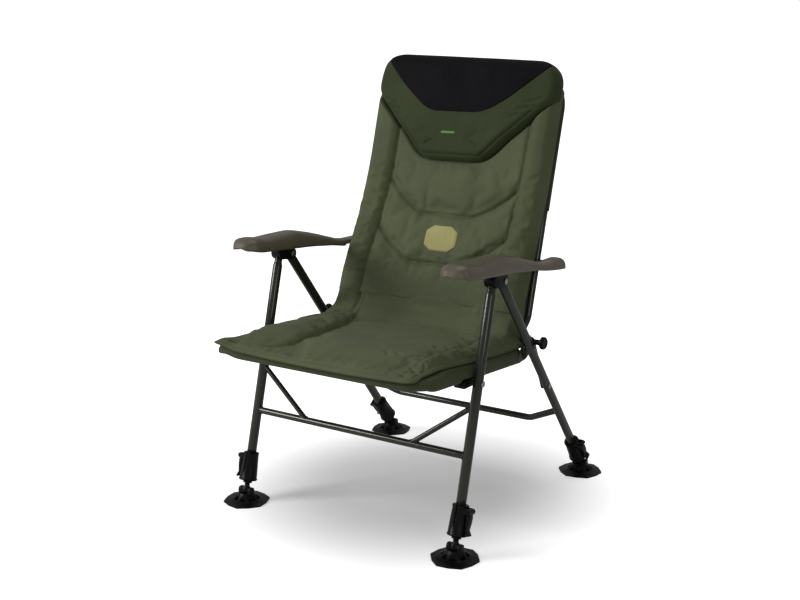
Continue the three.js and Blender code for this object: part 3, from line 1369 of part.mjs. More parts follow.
function legPair(isFront) {
  const place = isFront ? "front" : "rear";
  const footY = isFront ? frontFootY : rearFootY;
  const turn = isFront ? -frontLean : rearLean;
  const tube = isFront ? frontLegTube() : rearLegTube();
  const pieces = [
    [`${place}_leg`, tube, steel],
    [`${place}_clamp`, legClamp(isFront), blackPlastic],
    [`${place}_inner_leg`, innerLegBar(isFront), blackPlastic],
  ];
  const lever = clampLever();
  const dish = mudFoot();
  for (const [side, sign] of [["right", 1], ["left", -1]]) {
    const half = new THREE.Group();
    half.scale.x = sign;
    chair.add(half);
    const frame = legFrame(footY, turn);
    half.add(frame);
    for (const [name, body, material] of pieces) piece(frame, `${name}_${side}`, body, material);
    const leverFrame = new THREE.Group();
    leverFrame.position.set(leverPivotX, 0, leverPivotZ);
    frame.add(leverFrame);
    piece(leverFrame, `${place}_lever_${side}`, lever, blackPlastic);
    const footFrame = new THREE.Group();
    footFrame.position.set(legHalfSpan, footY, 0);
    half.add(footFrame);
    piece(footFrame, `${place}_foot_${side}`, dish, blackPlastic);
  }
}

legPair(true);
legPair(false);
pair(chair, "top_bracket", topBracket(), blackPlastic);
pair(chair, "bracket_pin", bracketPin(), brightSteel);
piece(chair, "front_cross_bar", frontCrossBar(), steel);
pair(chair, "front_brace", frontBrace(), steel);
piece(chair, "rear_cross_bar", rearCrossBar(), steel);
pair(chair, "link", linkBar(), blackPlastic);
pair(chair, "link_pin", linkPivotPin(), brightSteel);
piece(chair, "seat_frame", seatTube(), steel);
pair(chair, "seat_plate", seatSidePlate(), steel);
pair(chair, "seat_clip", seatClipBlock(), blackPlastic);
pair(chair, "seat_pin", seatPivotPin(), brightSteel);
chair.add(seatLayers);
piece(seatLayers, "seat_cover", seatCover(), oliveCloth);
piece(seatLayers, "seat_cushion", seatCushion(), paleOliveCloth);
chair.add(backLayers);
piece(backLayers, "back_frame", backTube(), steel);
pair(backLayers, "arm_guide_pin", armGuidePin(), blackPlastic);
piece(backLayers, "back_cover", backCover(), oliveCloth);
piece(backLayers, "back_cushion", backCushion(), paleOliveCloth);
piece(backLayers, "head_pillow", paddedForm(pillowShape(0)), oliveCloth);
piece(backLayers, "head_panel", headPanelForm(), blackCloth);
pair(chair, "pivot_disc", pivotDisc(), brightSteel);
pair(chair, "clamp_knob", clampKnob(), blackPlastic);
pair(chair, "armrest", armrestShell(), armPlastic);
pair(chair, "arm_pin", armPivotPin(), brightSteel);

export default chair;
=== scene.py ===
# %% [markdown]
# This notebook dresses a folding fishing chair. The measured frame comes first and never moves: steel
# tubes, plastic mouldings, pins and feet. Around it the cells build the smooth tubes, the mouldings
# and above all the padded cloth, which is what a person sees first.

# %% Load the measured frame
import math

import bpy
import numpy as np
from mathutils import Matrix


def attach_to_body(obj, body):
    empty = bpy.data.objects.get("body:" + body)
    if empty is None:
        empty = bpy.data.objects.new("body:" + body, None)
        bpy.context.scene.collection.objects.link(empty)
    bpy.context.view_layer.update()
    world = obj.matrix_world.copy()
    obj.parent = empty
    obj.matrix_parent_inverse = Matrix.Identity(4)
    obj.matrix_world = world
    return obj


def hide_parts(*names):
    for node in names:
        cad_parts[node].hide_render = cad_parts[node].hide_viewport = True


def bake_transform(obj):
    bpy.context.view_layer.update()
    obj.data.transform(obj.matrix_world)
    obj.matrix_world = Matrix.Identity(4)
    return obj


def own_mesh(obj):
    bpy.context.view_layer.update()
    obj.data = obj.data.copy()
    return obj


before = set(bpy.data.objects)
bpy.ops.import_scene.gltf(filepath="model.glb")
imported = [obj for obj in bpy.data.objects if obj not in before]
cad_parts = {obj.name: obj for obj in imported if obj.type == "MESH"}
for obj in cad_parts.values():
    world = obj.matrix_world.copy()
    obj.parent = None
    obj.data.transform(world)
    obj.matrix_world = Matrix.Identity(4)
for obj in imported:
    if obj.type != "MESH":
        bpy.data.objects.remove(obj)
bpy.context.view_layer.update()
SIDES = (("right", 1), ("left", -1))

# %% [markdown]
# The camera stands where the photographer stood: to the front and right of the chair and a little above
# the seat. Its place and turn were worked out from the legs, bars and feet, whose true places are
# known. The focal length is given in pixels of the picture, so it turns into a lens length by the
# picture's width.

# %% Camera
PICTURE_WIDTH = 800
FOCAL_PIXELS = 1196
SENSOR_WIDTH = 36
CAMERA_PLACE = (1.476, -2.282, 1.093)
CAMERA_AZIMUTH = math.radians(33.54)
CAMERA_ELEVATION = math.radians(12.95)

camera_data = bpy.data.cameras.new("camera")
camera_data.sensor_width = SENSOR_WIDTH
camera_data.lens = FOCAL_PIXELS / PICTURE_WIDTH * SENSOR_WIDTH
camera = bpy.data.objects.new("camera", camera_data)
camera.location = CAMERA_PLACE
camera.rotation_euler = (math.pi / 2 - CAMERA_ELEVATION, 0, CAMERA_AZIMUTH)
bpy.context.scene.collection.objects.link(camera)
bpy.context.scene.camera = camera

# %% [markdown]
# Studio light for a dark product: a large soft key from the front left, which draws the long bright
# streaks down the tubes, a weaker fill from the right, one lamp above, and a pale floor. The floor's
# glow and the world's white show only to the camera itself, so the light on the chair stays plain. The
# glow is kept weak under the chair: a painted shadow there, laid over the lamps' real shadow.

# %% Light and floor
KEY = {"place": (-2.3, -2.3, 1.9), "size": 1.3, "power": 70}
FILL = {"place": (2.6, -1.8, 1.2), "size": 1.0, "power": 9}
TOP = {"place": (0.1, 0.3, 3.2), "size": 1.6, "power": 13}
AIM = (0, 0, 0.45)
WORLD_STRENGTH = 0.42
WHITE = (1, 1, 1, 1)
FLOOR_HALF = 60.0
FLOOR_COLOUR = (0.8, 0.8, 0.8, 1)
# The floor's glow: its strength under the chair, kept low there as a painted shadow, and far off, and the
# distances between which it grows
PAINTED_SHADOW_GLOW = 0.085
FAR_GLOW = 1.0
GLOW_FROM = 0.16
GLOW_TO = 0.72


def lamp(name, place, size, power):
    """A square area lamp that looks at the middle of the chair."""
    data = bpy.data.lights.new(name, "AREA")
    data.size = size
    data.energy = power
    obj = bpy.data.objects.new(name, data)
    obj.location = place
    away = np.array(place) - np.array(AIM)
    flat = math.hypot(away[0], away[1])
    obj.rotation_euler = (math.atan2(flat, away[2]), 0, math.atan2(away[0], -away[1]))
    bpy.context.scene.collection.objects.link(obj)


def node(tree, kind, inputs=(), **settings):
    """A node with its settings, each input set to a value or fed by another node's socket."""
    made = tree.nodes.new("ShaderNode" + kind)
    for setting, value in settings.items():
        setattr(made, setting, value)
    for socket, value in dict(inputs).items():
        if isinstance(value, bpy.types.NodeSocket):
            tree.links.new(value, made.inputs[socket])
        else:
            made.inputs[socket].default_value = value
    return made


def seen_by_camera(tree):
    """A factor that is 1 where the camera sees a thing itself and 0 for every bounced ray."""
    return node(tree, "LightPath").outputs["Is Camera Ray"]


def paint_world(tree):
    """Plain soft light for the chair, and white where the camera looks past it."""
    tree.nodes.clear()
    soft = node(tree, "Background", {"Strength": WORLD_STRENGTH})
    white = node(tree, "Background", {"Color": WHITE})
    mix = node(tree, "MixShader", {"Fac": seen_by_camera(tree), 1: soft.outputs[0], 2: white.outputs[0]})
    node(tree, "OutputWorld", {"Surface": mix.outputs[0]})


def paint_floor(tree):
    """A matt floor whose glow grows by a smooth step with the distance from the chair; its weak glow under
    the chair is a painted shadow.
    """
    tree.nodes.clear()
    matt = node(tree, "BsdfDiffuse", {"Color": FLOOR_COLOUR})
    place = node(tree, "TexCoord").outputs["Object"]
    distance = node(tree, "VectorMath", {0: place}, operation="LENGTH").outputs["Value"]
    limits = {"From Min": GLOW_FROM, "From Max": GLOW_TO, "To Min": PAINTED_SHADOW_GLOW, "To Max": FAR_GLOW}
    spread = node(tree, "MapRange", {"Value": distance, **limits}, interpolation_type="SMOOTHSTEP")
    factors = {0: seen_by_camera(tree), 1: spread.outputs["Result"]}
    strength = node(tree, "Math", factors, operation="MULTIPLY").outputs[0]
    glow = node(tree, "Emission", {"Strength": strength})
    both = node(tree, "AddShader", {0: matt.outputs[0], 1: glow.outputs[0]})
    node(tree, "OutputMaterial", {"Surface": both.outputs[0]})


lamp("key", **KEY)
lamp("fill", **FILL)
lamp("top", **TOP)
scene = bpy.context.scene
scene.view_settings.view_transform = "Standard"
scene.world = bpy.data.worlds.new("studio")
scene.world.use_nodes = True
paint_world(scene.world.node_tree)

floor_white = bpy.data.materials.new("floor_white")
floor_white.use_nodes = True
paint_floor(floor_white.node_tree)
floor_mesh = bpy.data.meshes.new("floor")
corners = [(x * FLOOR_HALF, y * FLOOR_HALF, 0) for x, y in ((-1, -1), (1, -1), (1, 1), (-1, 1))]
floor_mesh.from_pydata(corners, [], [(0, 1, 2, 3)])
floor_mesh.materials.append(floor_white)
floor = bpy.data.objects.new("floor", floor_mesh)
scene.collection.objects.link(floor)

# %% [markdown]
# Every new piece is a surface on a grid: rows run along the piece and columns run across or around
# it. One function turns such a grid into a mesh, closes it where it should be closed, and lays a
# map of true lengths over it, in metres, that the cloth's weave follows.

# %% Grid surfaces
EDGE_ROUND = 0.0008  # radius of the rounding at a tube's cut ends


def lengths_map(points, around):
    """Arc lengths along the columns and rows, each measured on the mean of the other direction."""
    closed = np.concatenate([points, points[:, :1]], axis=1) if around else points
    across = np.linalg.norm(np.diff(closed, axis=1), axis=2).mean(axis=0)
    along = np.linalg.norm(np.diff(closed, axis=0), axis=2).mean(axis=1)
    u = np.concatenate([[0], np.cumsum(across)])
    v = np.concatenate([[0], np.cumsum(along)])
    return np.stack(np.meshgrid(u, v), axis=-1)


def closing_faces(points, index, uv, ends):
    """The faces that close both end rows of a grid, their places on the map, and a fan's middles."""
    faces, places, middles = [], [], []
    half = points.shape[1] // 2
    for row, order in ((0, -1), (len(points) - 1, 1)):
        ring = index[row]
        if ends == "fan":
            pair = np.stack([ring, np.roll(ring, -1)], axis=1)[:, ::order]
            added = np.insert(pair, 0, index.size + len(middles), axis=1)
            middles.append(points[row].mean(axis=0))
            place = uv[row].mean(axis=0)
        else:
            front, rear = ring[:half], ring[half:][::-1]
            added = np.stack([front[:-1], front[1:], rear[1:], rear[:-1]], axis=1)[:, ::order]
            place = uv[row, 0]
        faces += added.tolist()
        places.append(np.tile(place, (added.size, 1)))
    return faces, places, middles


def inside_out(vertices, faces):
    """Whether a closed surface's volume, a sixth of the sum of a . (b x c), comes out negative."""
    triangles = [face[:3] for face in faces]
    triangles += [[face[0], face[2], face[3]] for face in faces if len(face) == 4]
    a, b, c = vertices[np.array(triangles)].transpose(1, 0, 2)
    return np.einsum("ij,ij->i", a, np.cross(b, c)).sum() < 0


def skin(name, points, material, around=False, ends=None, flip=False, second=None):
    """Joins a grid of points, rows by columns by 3, with four-sided faces.

    ends is None for an open grid, "fan" to close each end with triangles to its middle, or "strip"
    where the ring is a front and a back row of equal count that are sewn to each other. A closed
    surface whose volume comes out negative is turned round. second is another material and a mask
    over the grid that says where it goes."""
    rows, columns = points.shape[:2]
    index = np.arange(rows * columns).reshape(rows, columns)
    left = index if around else index[:, :-1]
    right = np.roll(index, -1, axis=1) if around else index[:, 1:]
    quads = np.stack([left[:-1], right[:-1], right[1:], left[1:]], axis=-1).reshape(-1, 4)
    uv = lengths_map(points, around)
    places = [np.stack([uv[:-1, :-1], uv[:-1, 1:], uv[1:, 1:], uv[1:, :-1]], axis=-2).reshape(-1, 2)]
    vertices = points.reshape(-1, 3)
    faces = quads.tolist()
    if ends:
        end_faces, end_places, middles = closing_faces(points, index, uv, ends)
        vertices = np.vstack([vertices, *middles])
        faces += end_faces
        places += end_places
        flip = inside_out(vertices, faces)
    mesh = bpy.data.meshes.new(name)
    mesh.from_pydata(vertices.tolist(), [], faces)
    layer = mesh.uv_layers.new(name="cloth")
    layer.data.foreach_set("uv", np.concatenate(places).astype(np.float32).ravel())
    if flip:
        mesh.flip_normals()
    mesh.polygons.foreach_set("use_smooth", np.ones(len(mesh.polygons), bool))
    mesh.materials.append(material)
    if second:
        mesh.materials.append(second[0])
        mask = second[1] if around else second[1][:, :-1]
        kinds = np.zeros(len(mesh.polygons), int)
        kinds[: len(quads)] = mask[:-1].ravel()
        mesh.polygons.foreach_set("material_index", kinds)
    obj = bpy.data.objects.new(name, mesh)
    scene.collection.objects.link(obj)
    return obj


def sewn(name, front, rear, material, second=None):
    """A flat bag: the grids of its front and rear, sewn to each other all round."""
    grid = np.concatenate([front, rear[:, ::-1]], axis=1)
    return skin(name, grid, material, around=True, ends="strip", second=second)


def with_rear(front):
    """A mask over a bag's front, made one over its whole grid that holds all of its rear."""
    return np.concatenate([front, np.ones_like(front)], axis=1)


def step(value, start, end):
    """Eases from 0 to 1 between two values."""
    t = np.clip((value - start) / (end - start), 0, 1)
    return t * t * (3 - 2 * t)


def unit(vector):
    """A vector, or each row of an array, divided by its length."""
    vector = np.asarray(vector, float)
    return vector / np.linalg.norm(vector, axis=-1, keepdims=True)


def powered(values, power):
    """The size of each value raised to a power, with its sign kept."""
    return np.sign(values) * np.abs(values) ** power


def crowded(count, power=1.4):
    """Places from -1 to 1 that crowd towards both ends: 1 - (1 - |u|)^power, with the sign of u."""
    u = np.linspace(-1, 1, count)
    return np.sign(u) * (1 - (1 - np.abs(u)) ** power)


def rounded(corners, radii, steps=10):
    """A route whose inner corners are arcs: each starts at radius / tan(half the corner's angle) from it."""
    corners = np.asarray(corners, float)
    route = [corners[0]]
    for before, at, after, radius in zip(corners[:-2], corners[1:-1], corners[2:], radii):
        back, ahead = unit(before - at), unit(after - at)
        half = math.acos(np.clip(back @ ahead, -1, 1)) / 2
        centre = at + unit(back + ahead) * radius / math.sin(half)
        start = at + back * radius / math.tan(half) - centre
        end = at + ahead * radius / math.tan(half) - centre
        turn = np.linspace(0, 1, steps + 1)[:, None]
        sweep = math.pi - 2 * half
        arc = np.sin((1 - turn) * sweep) * start + np.sin(turn * sweep) * end
        route += list(centre + arc / math.sin(sweep))
    route.append(corners[-1])
    return np.array(route)


def carried(route, side=None):
    """Two directions across each point of a route: carried along with no twist, or held to a side."""
    ahead = unit(np.gradient(route, axis=0))
    if side is not None:
        out = unit(side - (ahead @ side)[:, None] * ahead)
        return out, np.cross(ahead, out)
    first = np.cross(ahead[0], (0, 0, 1))
    first = first if np.linalg.norm(first) > 1e-3 else np.cross(ahead[0], (1, 0, 0))
    outs = [unit(first)]
    for tangent in ahead[1:]:
        outs.append(unit(outs[-1] - (outs[-1] @ tangent) * tangent))
    outs = np.array(outs)
    return outs, np.cross(ahead, outs)


def tube(name, route, radius, material, depth=None, side=None, sides=40, squareness=2, closed=False):
    """A section carried along a route. It is the curve |x/a|^n + |y/b|^n = 1, a circle where n is 2 and
    a equals b, and its two ends are rounded over by a quarter circle."""
    route = np.asarray(route, float)
    depth = radius if depth is None else depth
    turn = np.linspace(0, 2 * math.pi, sides, endpoint=False)
    wide, deep = powered(np.cos(turn), 2 / squareness), powered(np.sin(turn), 2 / squareness)
    if closed:
        loop = np.concatenate([route[-1:], route, route[:1]])
        out, across = (part[1:-1] for part in carried(loop, side))
        grid = route[:, None] + out[:, None] * (radius * wide)[:, None]
        grid = grid + across[:, None] * (depth * deep)[:, None]
        return skin(name, np.concatenate([grid, grid[:1]]), material, around=True)
    out, across = carried(route, side)
    ahead = unit(np.gradient(route, axis=0))
    sweep = np.linspace(0, math.pi / 2, 4)
    inset = EDGE_ROUND * (1 - np.sin(sweep))
    reach = EDGE_ROUND * (1 - np.cos(sweep))
    stations = [(route[0] + ahead[0] * r, 0, i) for r, i in zip(reach, inset)]
    stations += [(p, n + 1, 0) for n, p in enumerate(route[1:-1])]
    stations += [(route[-1] - ahead[-1] * r, len(route) - 1, i) for r, i in zip(reach[::-1], inset[::-1])]
    rings = [
        p + out[n] * ((radius - i) * wide)[:, None] + across[n] * ((depth - i) * deep)[:, None]
        for p, n, i in stations
    ]
    return skin(name, np.array(rings), material, around=True, ends="fan")


def turned(name, profile, start, axis, material, sides=48):
    """A profile of radius and height, turned round an axis through a start point."""
    profile = np.asarray(profile, float)
    axis = unit(axis)
    across = unit(np.cross(axis, (0, 1, 0) if abs(axis[1]) < 0.9 else (1, 0, 0)))
    other = np.cross(axis, across)
    turn = np.linspace(0, 2 * math.pi, sides, endpoint=False)
    circle = np.cos(turn)[:, None] * across + np.sin(turn)[:, None] * other
    grid = np.asarray(start) + profile[:, 1, None, None] * axis + profile[:, 0, None, None] * circle[None]
    return skin(name, grid, material, around=True, ends="fan")


def attach(piece, body, slot, *nodes):
    """Rides a piece on a body and hides the nodes of the frame that it stands for; the slot is not used."""
    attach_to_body(piece, body)
    if nodes:
        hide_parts(*nodes)
    return piece


print("grid, tube and turning helpers are ready")

# %% [markdown]
# Finishes are worked out by nodes. A powder coat is a fine orange peel under a satin gloss with a little
# metal in it. Moulded plastic has a spark-eroded grain. Both wander a little in colour and gloss, as
# anything handled does. Numbers that are the same all over are set straight on the shader.

# %% Finishes for hard pieces
CLOUDS_PER_METRE = 14
SMEARS_PER_METRE = 55


def new_material(name, **sockets):
    """A principled material with the given sockets, and a shortcut to its tree and shader."""
    material = bpy.data.materials.new(name)
    material.use_nodes = True
    shader = material.node_tree.nodes["Principled BSDF"]
    for socket, value in sockets.items():
        shader.inputs[socket.replace("_", " ")].default_value = value
    return material, material.node_tree, shader


def noise(tree, scale, detail, roughness=0.5):
    """A Noise texture on object coordinates, in features per metre."""
    place = node(tree, "TexCoord").outputs["Object"]
    inputs = {"Vector": place, "Scale": scale, "Detail": detail, "Roughness": roughness}
    return node(tree, "TexNoise", inputs).outputs["Fac"]


def ramp(tree, source, stops):
    """A Color Ramp with the given positions and colours, fed by a socket."""
    made = node(tree, "ValToRGB", {"Fac": source})
    elements = made.color_ramp.elements
    for element, (position, colour) in zip(elements, stops):
        element.position = position
        element.color = (*colour, 1)
    return made.outputs["Color"]


def grey(value):
    return (value, value, value)


def bumped(tree, shader, height, distance):
    """Feeds a height socket to the shader's normal; distance is the height's full size in metres."""
    made = node(tree, "Bump", {"Height": height, "Distance": distance})
    tree.links.new(made.outputs["Normal"], shader.inputs["Normal"])


def hard_finish(name, light, dark, grains_per_metre, grain_height, roughness, **sockets):
    """Two colours mixed by a cloudy noise, a fine grain as bump, and roughness that wanders."""
    material, tree, shader = new_material(name, **sockets)
    colour = ramp(tree, noise(tree, CLOUDS_PER_METRE, 4), [(0.35, dark), (0.7, light)])
    tree.links.new(colour, shader.inputs["Base Color"])
    smooth, rough = roughness
    gloss = ramp(tree, noise(tree, SMEARS_PER_METRE, 5), [(0.3, grey(smooth)), (0.75, grey(rough))])
    tree.links.new(gloss, shader.inputs["Roughness"])
    bumped(tree, shader, noise(tree, grains_per_metre, 3), grain_height)
    return material


powder_coat = hard_finish(
    "powder_coat", light=(0.027, 0.031, 0.021), dark=(0.023, 0.026, 0.018), grains_per_metre=900,
    grain_height=0.000002, roughness=(0.18, 0.22), Metallic=0.3,
)
black_moulding = hard_finish(
    "black_moulding", light=grey(0.0042), dark=grey(0.0028), grains_per_metre=1500,
    grain_height=0.00006, roughness=(0.32, 0.46), Specular_IOR_Level=0.14,
)
zinc = hard_finish(
    "zinc", light=grey(0.42), dark=grey(0.32), grains_per_metre=700,
    grain_height=0.00003, roughness=(0.24, 0.38), Metallic=1.0,
)
arm_moulding = hard_finish(
    "arm_moulding", light=(0.112, 0.094, 0.064), dark=(0.094, 0.079, 0.053), grains_per_metre=1300,
    grain_height=0.00005, roughness=(0.36, 0.46), Specular_IOR_Level=0.5,
)

# %% [markdown]
# The cloth is a plain woven polyester. Its real threads are too fine for the picture to show, so the
# weave is two crossed wave bands, two millimetres apart, that roughen the light and paint a faint shade
# into the valleys between the threads, and what the eye sees is the slow drift of colour and the sheen
# of the fibres. The map of lengths steers it.

# %% Finishes for cloth
WEAVE_SCALE = 900 / (2 * math.pi)  # at scale 1 a Wave texture turns by 20 radians in a metre
THREAD_WOBBLE = 0.6
# The valleys between the threads take painted shade: this share of the colour is taken away there.
THREAD_SHADE = 0.22  # how much of the colour the valleys between threads take away
THREAD_HEIGHT = 0.12  # height of a thread as a share of a crease's
CREASE_HEIGHT = 0.0011
DRIFTS_PER_METRE = 9
CREASES_PER_METRE = 70


def woven(name, light, dark, sheen=0.04, specular=0.18):
    """Two crossed Wave bands make the weave's height and paint shade into its valleys; a cloudy noise drifts
    between two colours.
    """
    material, tree, shader = new_material(
        name, Roughness=0.68, Sheen_Weight=sheen, Sheen_Roughness=0.4, Specular_IOR_Level=specular
    )
    base = ramp(tree, noise(tree, DRIFTS_PER_METRE, 5, 0.55), [(0.36, dark), (0.66, light)])
    place = node(tree, "UVMap", uv_map="cloth").outputs["UV"]
    weave = {"Vector": place, "Scale": WEAVE_SCALE, "Distortion": THREAD_WOBBLE}
    warp, weft = (node(tree, "TexWave", weave, bands_direction=way).outputs["Fac"] for way in ("X", "Y"))
    threads = node(tree, "Math", {0: warp, 1: weft}, operation="MULTIPLY").outputs[0]
    # Painted shade: the valleys between the threads are darkened in the colour.
    painted_valley_shade = ramp(tree, threads, [(0.0, grey(0.5)), (1.0, grey(1.0))])
    layers = {"Factor": THREAD_SHADE, "A": base, "B": painted_valley_shade}
    shade = node(tree, "Mix", layers, data_type="RGBA", blend_type="MULTIPLY")
    tree.links.new(shade.outputs["Result"], shader.inputs["Base Color"])
    heights = {0: threads, 1: THREAD_HEIGHT, 2: noise(tree, CREASES_PER_METRE, 6, 0.6)}
    bumped(tree, shader, node(tree, "Math", heights, operation="MULTIPLY_ADD").outputs[0], CREASE_HEIGHT)
    return material


olive_cloth = woven("olive_cloth", (0.058, 0.072, 0.031), (0.047, 0.060, 0.026))
# The bolsters' cloth is a darker copy of the pale olive panel cloth: painted shade for the bolsters.
bolster_painted_shade_cloth = woven("bolster_painted_shade_cloth", (0.092, 0.110, 0.052), (0.077, 0.093, 0.044))
pale_olive_cloth = woven("pale_olive_cloth", (0.106, 0.121, 0.062), (0.089, 0.104, 0.053))
dark_olive_cloth = woven("dark_olive_cloth", (0.032, 0.043, 0.021), (0.024, 0.033, 0.016))
pillow_cloth = woven("pillow_cloth", (0.045, 0.058, 0.024), (0.036, 0.047, 0.019), specular=0.10)
black_cloth = woven("black_cloth", (0.0045, 0.0042, 0.0055), (0.003, 0.0028, 0.0038), 0.01, 0.08)
khaki_patch = woven("khaki_patch", (0.43, 0.40, 0.17), (0.36, 0.34, 0.14))
green_thread = woven("green_thread", (0.16, 0.30, 0.075), (0.13, 0.25, 0.060))
print("materials:", ", ".join(sorted(m.name for m in bpy.data.materials)))

# %% [markdown]
# The two leg frames cross under the armrests. The front legs are round tubes, swaged to a narrower neck
# at the top; the rear legs are flat ovals. Their lines are worked out again here from the same driving
# places as the frame: the feet on the ground and the pivots above.

# %% Legs
LEG_X = 0.286
BALL_HEIGHT = 0.027
FRONT_FOOT_Y = -0.278
REAR_FOOT_Y = 0.332
FRONT_TOP = (-0.142, 0.550)
LEG_PIVOT = (-0.102, 0.566)
LEG_LOW = 0.057  # up the leg from the ball, where the tube ends inside its clamp
FRONT_RADIUS = 0.011
NECK = {"radius": 0.009, "length": 0.026, "taper": 0.008}
REAR_HALF_WIDTH = 0.007
REAR_HALF_DEPTH = 0.012
REAR_SQUARENESS = 2.6
REAR_SHORT = 0.006  # the tube ends short of the pin, inside the bracket
front_slope = (FRONT_TOP[0] - FRONT_FOOT_Y) / (FRONT_TOP[1] - BALL_HEIGHT)
rear_slope = (REAR_FOOT_Y - LEG_PIVOT[0]) / (LEG_PIVOT[1] - BALL_HEIGHT)
front_up = unit((0, front_slope, 1))
rear_up = unit((0, -rear_slope, 1))


def on_front_leg(z, x=LEG_X):
    return np.array([x, FRONT_FOOT_Y + (z - BALL_HEIGHT) * front_slope, z])


def on_rear_leg(z, x=LEG_X):
    return np.array([x, REAR_FOOT_Y - (z - BALL_HEIGHT) * rear_slope, z])


front_length = (FRONT_TOP[1] - BALL_HEIGHT) / front_up[2]
rear_length = (LEG_PIVOT[1] - BALL_HEIGHT) / rear_up[2]
taper_from = front_length - NECK["taper"]
neck_end = front_length + NECK["length"]
# Radius and place up the leg: the tube, the swage's two round shoulders and the neck
swage = [
    (FRONT_RADIUS - EDGE_ROUND, LEG_LOW),
    (FRONT_RADIUS, LEG_LOW + EDGE_ROUND),
    (FRONT_RADIUS, taper_from),
    (FRONT_RADIUS - 0.0006, taper_from + NECK["taper"] * 0.3),
    (NECK["radius"] + 0.0004, front_length - 0.0008),
    (NECK["radius"], front_length),
    (NECK["radius"], neck_end - EDGE_ROUND),
    (NECK["radius"] - EDGE_ROUND, neck_end),
]
oval = {"depth": REAR_HALF_DEPTH, "side": np.array([1.0, 0, 0]), "sides": 48, "squareness": REAR_SQUARENESS}
up = np.linspace(LEG_LOW, rear_length - REAR_SHORT, 12)[:, None]
for side, sign in SIDES:
    foot = on_front_leg(BALL_HEIGHT, sign * LEG_X)
    leg = turned(f"front_leg_tube_{side}", swage, foot, front_up, powder_coat)
    attach(leg, "front_frame", "steel_tube", f"front_leg_{side}")
    straight = on_rear_leg(BALL_HEIGHT, sign * LEG_X) + rear_up * up
    leg = tube(f"rear_leg_tube_{side}", straight, REAR_HALF_WIDTH, powder_coat, **oval)
    attach(leg, "rear_frame", "steel_tube", f"rear_leg_{side}")
print("front leg", round(front_length, 3), "m, rear leg", round(rear_length, 3), "m")

# %% [markdown]
# The cross tubes are welded to the legs. A weld leaves a lumpy ring where the two tubes meet, and that
# ring is found by sliding each point of the bar's circle along the bar until it lies on the leg's
# surface, which is the root of a quadratic.

# %% Cross tubes and welds
BAR_RADIUS = 0.008
BRACE_RADIUS = 0.006
FRONT_BAR_Z = 0.212
BRACE_ALONG = 0.145
BRACE_ABOVE = 0.104
REAR_BAR = {"end_z": 0.198, "middle_z": 0.152, "inset": 0.092, "bend": 0.04}
WELD_RADIUS = 0.0017
WELD_LUMPS = 17
WELD_APPROACH = 0.05  # how far off the joint the sliding starts


def weld(name, joint, direction, bar_radius, leg_direction, leg_radius, body):
    """A bead along the ring where a bar's surface meets a leg's, with a ripple of lumps along it.

    A point of the bar's circle that slides by t meets the leg where a t^2 + b t + c = 0, at the
    smaller root (-b - sqrt(b^2 - 4ac)) / 2a."""
    direction, leg_direction = unit(direction), unit(leg_direction)
    across = unit(np.cross(direction, leg_direction))
    other = np.cross(direction, across)
    turn = np.linspace(0, 2 * math.pi, 60, endpoint=False)
    start = joint - direction * WELD_APPROACH
    ring = start + bar_radius * (np.cos(turn)[:, None] * across + np.sin(turn)[:, None] * other)
    offset = ring - joint
    offset = offset - (offset @ leg_direction)[:, None] * leg_direction
    slide = direction - (direction @ leg_direction) * leg_direction
    a = slide @ slide
    b = 2 * offset @ slide
    c = (offset**2).sum(axis=1) - leg_radius**2
    travel = (-b - np.sqrt(np.maximum(b**2 - 4 * a * c, 0))) / (2 * a)
    lumps = 1 + 0.16 * np.sin(turn * WELD_LUMPS) + 0.08 * np.sin(turn * 7 + 1)
    centre = ring + travel[:, None] * direction
    swell = unit(centre - start - ((centre - start) @ direction)[:, None] * direction)
    route = centre + swell * (WELD_RADIUS * 0.2 * lumps)[:, None]
    bead = tube(name, route, WELD_RADIUS, powder_coat, sides=10, closed=True)
    attach(bead, body, "steel_tube")


left, right = on_front_leg(FRONT_BAR_Z, -LEG_X), on_front_leg(FRONT_BAR_Z)
bar = tube("front_cross_tube", np.linspace(left, right, 24), BAR_RADIUS, powder_coat)
attach(bar, "front_frame", "steel_tube", "front_cross_bar")
bend_x = LEG_X - REAR_BAR["inset"]
corners = [
    on_rear_leg(REAR_BAR["end_z"], -LEG_X),
    on_rear_leg(REAR_BAR["middle_z"], -bend_x),
    on_rear_leg(REAR_BAR["middle_z"], bend_x),
    on_rear_leg(REAR_BAR["end_z"]),
]
rear_route = rounded(corners, [REAR_BAR["bend"]] * 2, 12)
bar = tube("rear_cross_tube", rear_route, BAR_RADIUS, powder_coat)
attach(bar, "rear_frame", "steel_tube", "rear_cross_bar")
for side, sign in SIDES:
    leg_x = sign * LEG_X
    joint = on_front_leg(FRONT_BAR_Z, leg_x)
    weld(f"front_bar_weld_{side}", joint, (sign, 0, 0), BAR_RADIUS, front_up, FRONT_RADIUS, "front_frame")
    low = on_front_leg(FRONT_BAR_Z, leg_x - sign * BRACE_ALONG)
    high = on_front_leg(FRONT_BAR_Z + BRACE_ABOVE, leg_x)
    strut = tube(f"front_brace_tube_{side}", np.linspace(low, high, 12), BRACE_RADIUS, powder_coat)
    attach(strut, "front_frame", "steel_tube", f"front_brace_{side}")
    weld(f"brace_top_weld_{side}", high, high - low, BRACE_RADIUS, front_up, FRONT_RADIUS, "front_frame")
    weld(f"brace_foot_weld_{side}", low, low - high, BRACE_RADIUS, (1, 0, 0), BAR_RADIUS, "front_frame")
    joint = on_rear_leg(REAR_BAR["end_z"], leg_x)
    outward = joint - on_rear_leg(REAR_BAR["middle_z"], sign * bend_x)
    weld(f"rear_bar_weld_{side}", joint, outward, BAR_RADIUS, rear_up, REAR_HALF_WIDTH + 0.002, "rear_frame")

# %% [markdown]
# The seat's tube is one bend round the front corners, turned up behind to the pivot. The back's tube is
# a tall hoop with a kink near its foot. Most of both is inside the cloth, but their ends and the back's
# lower legs show.

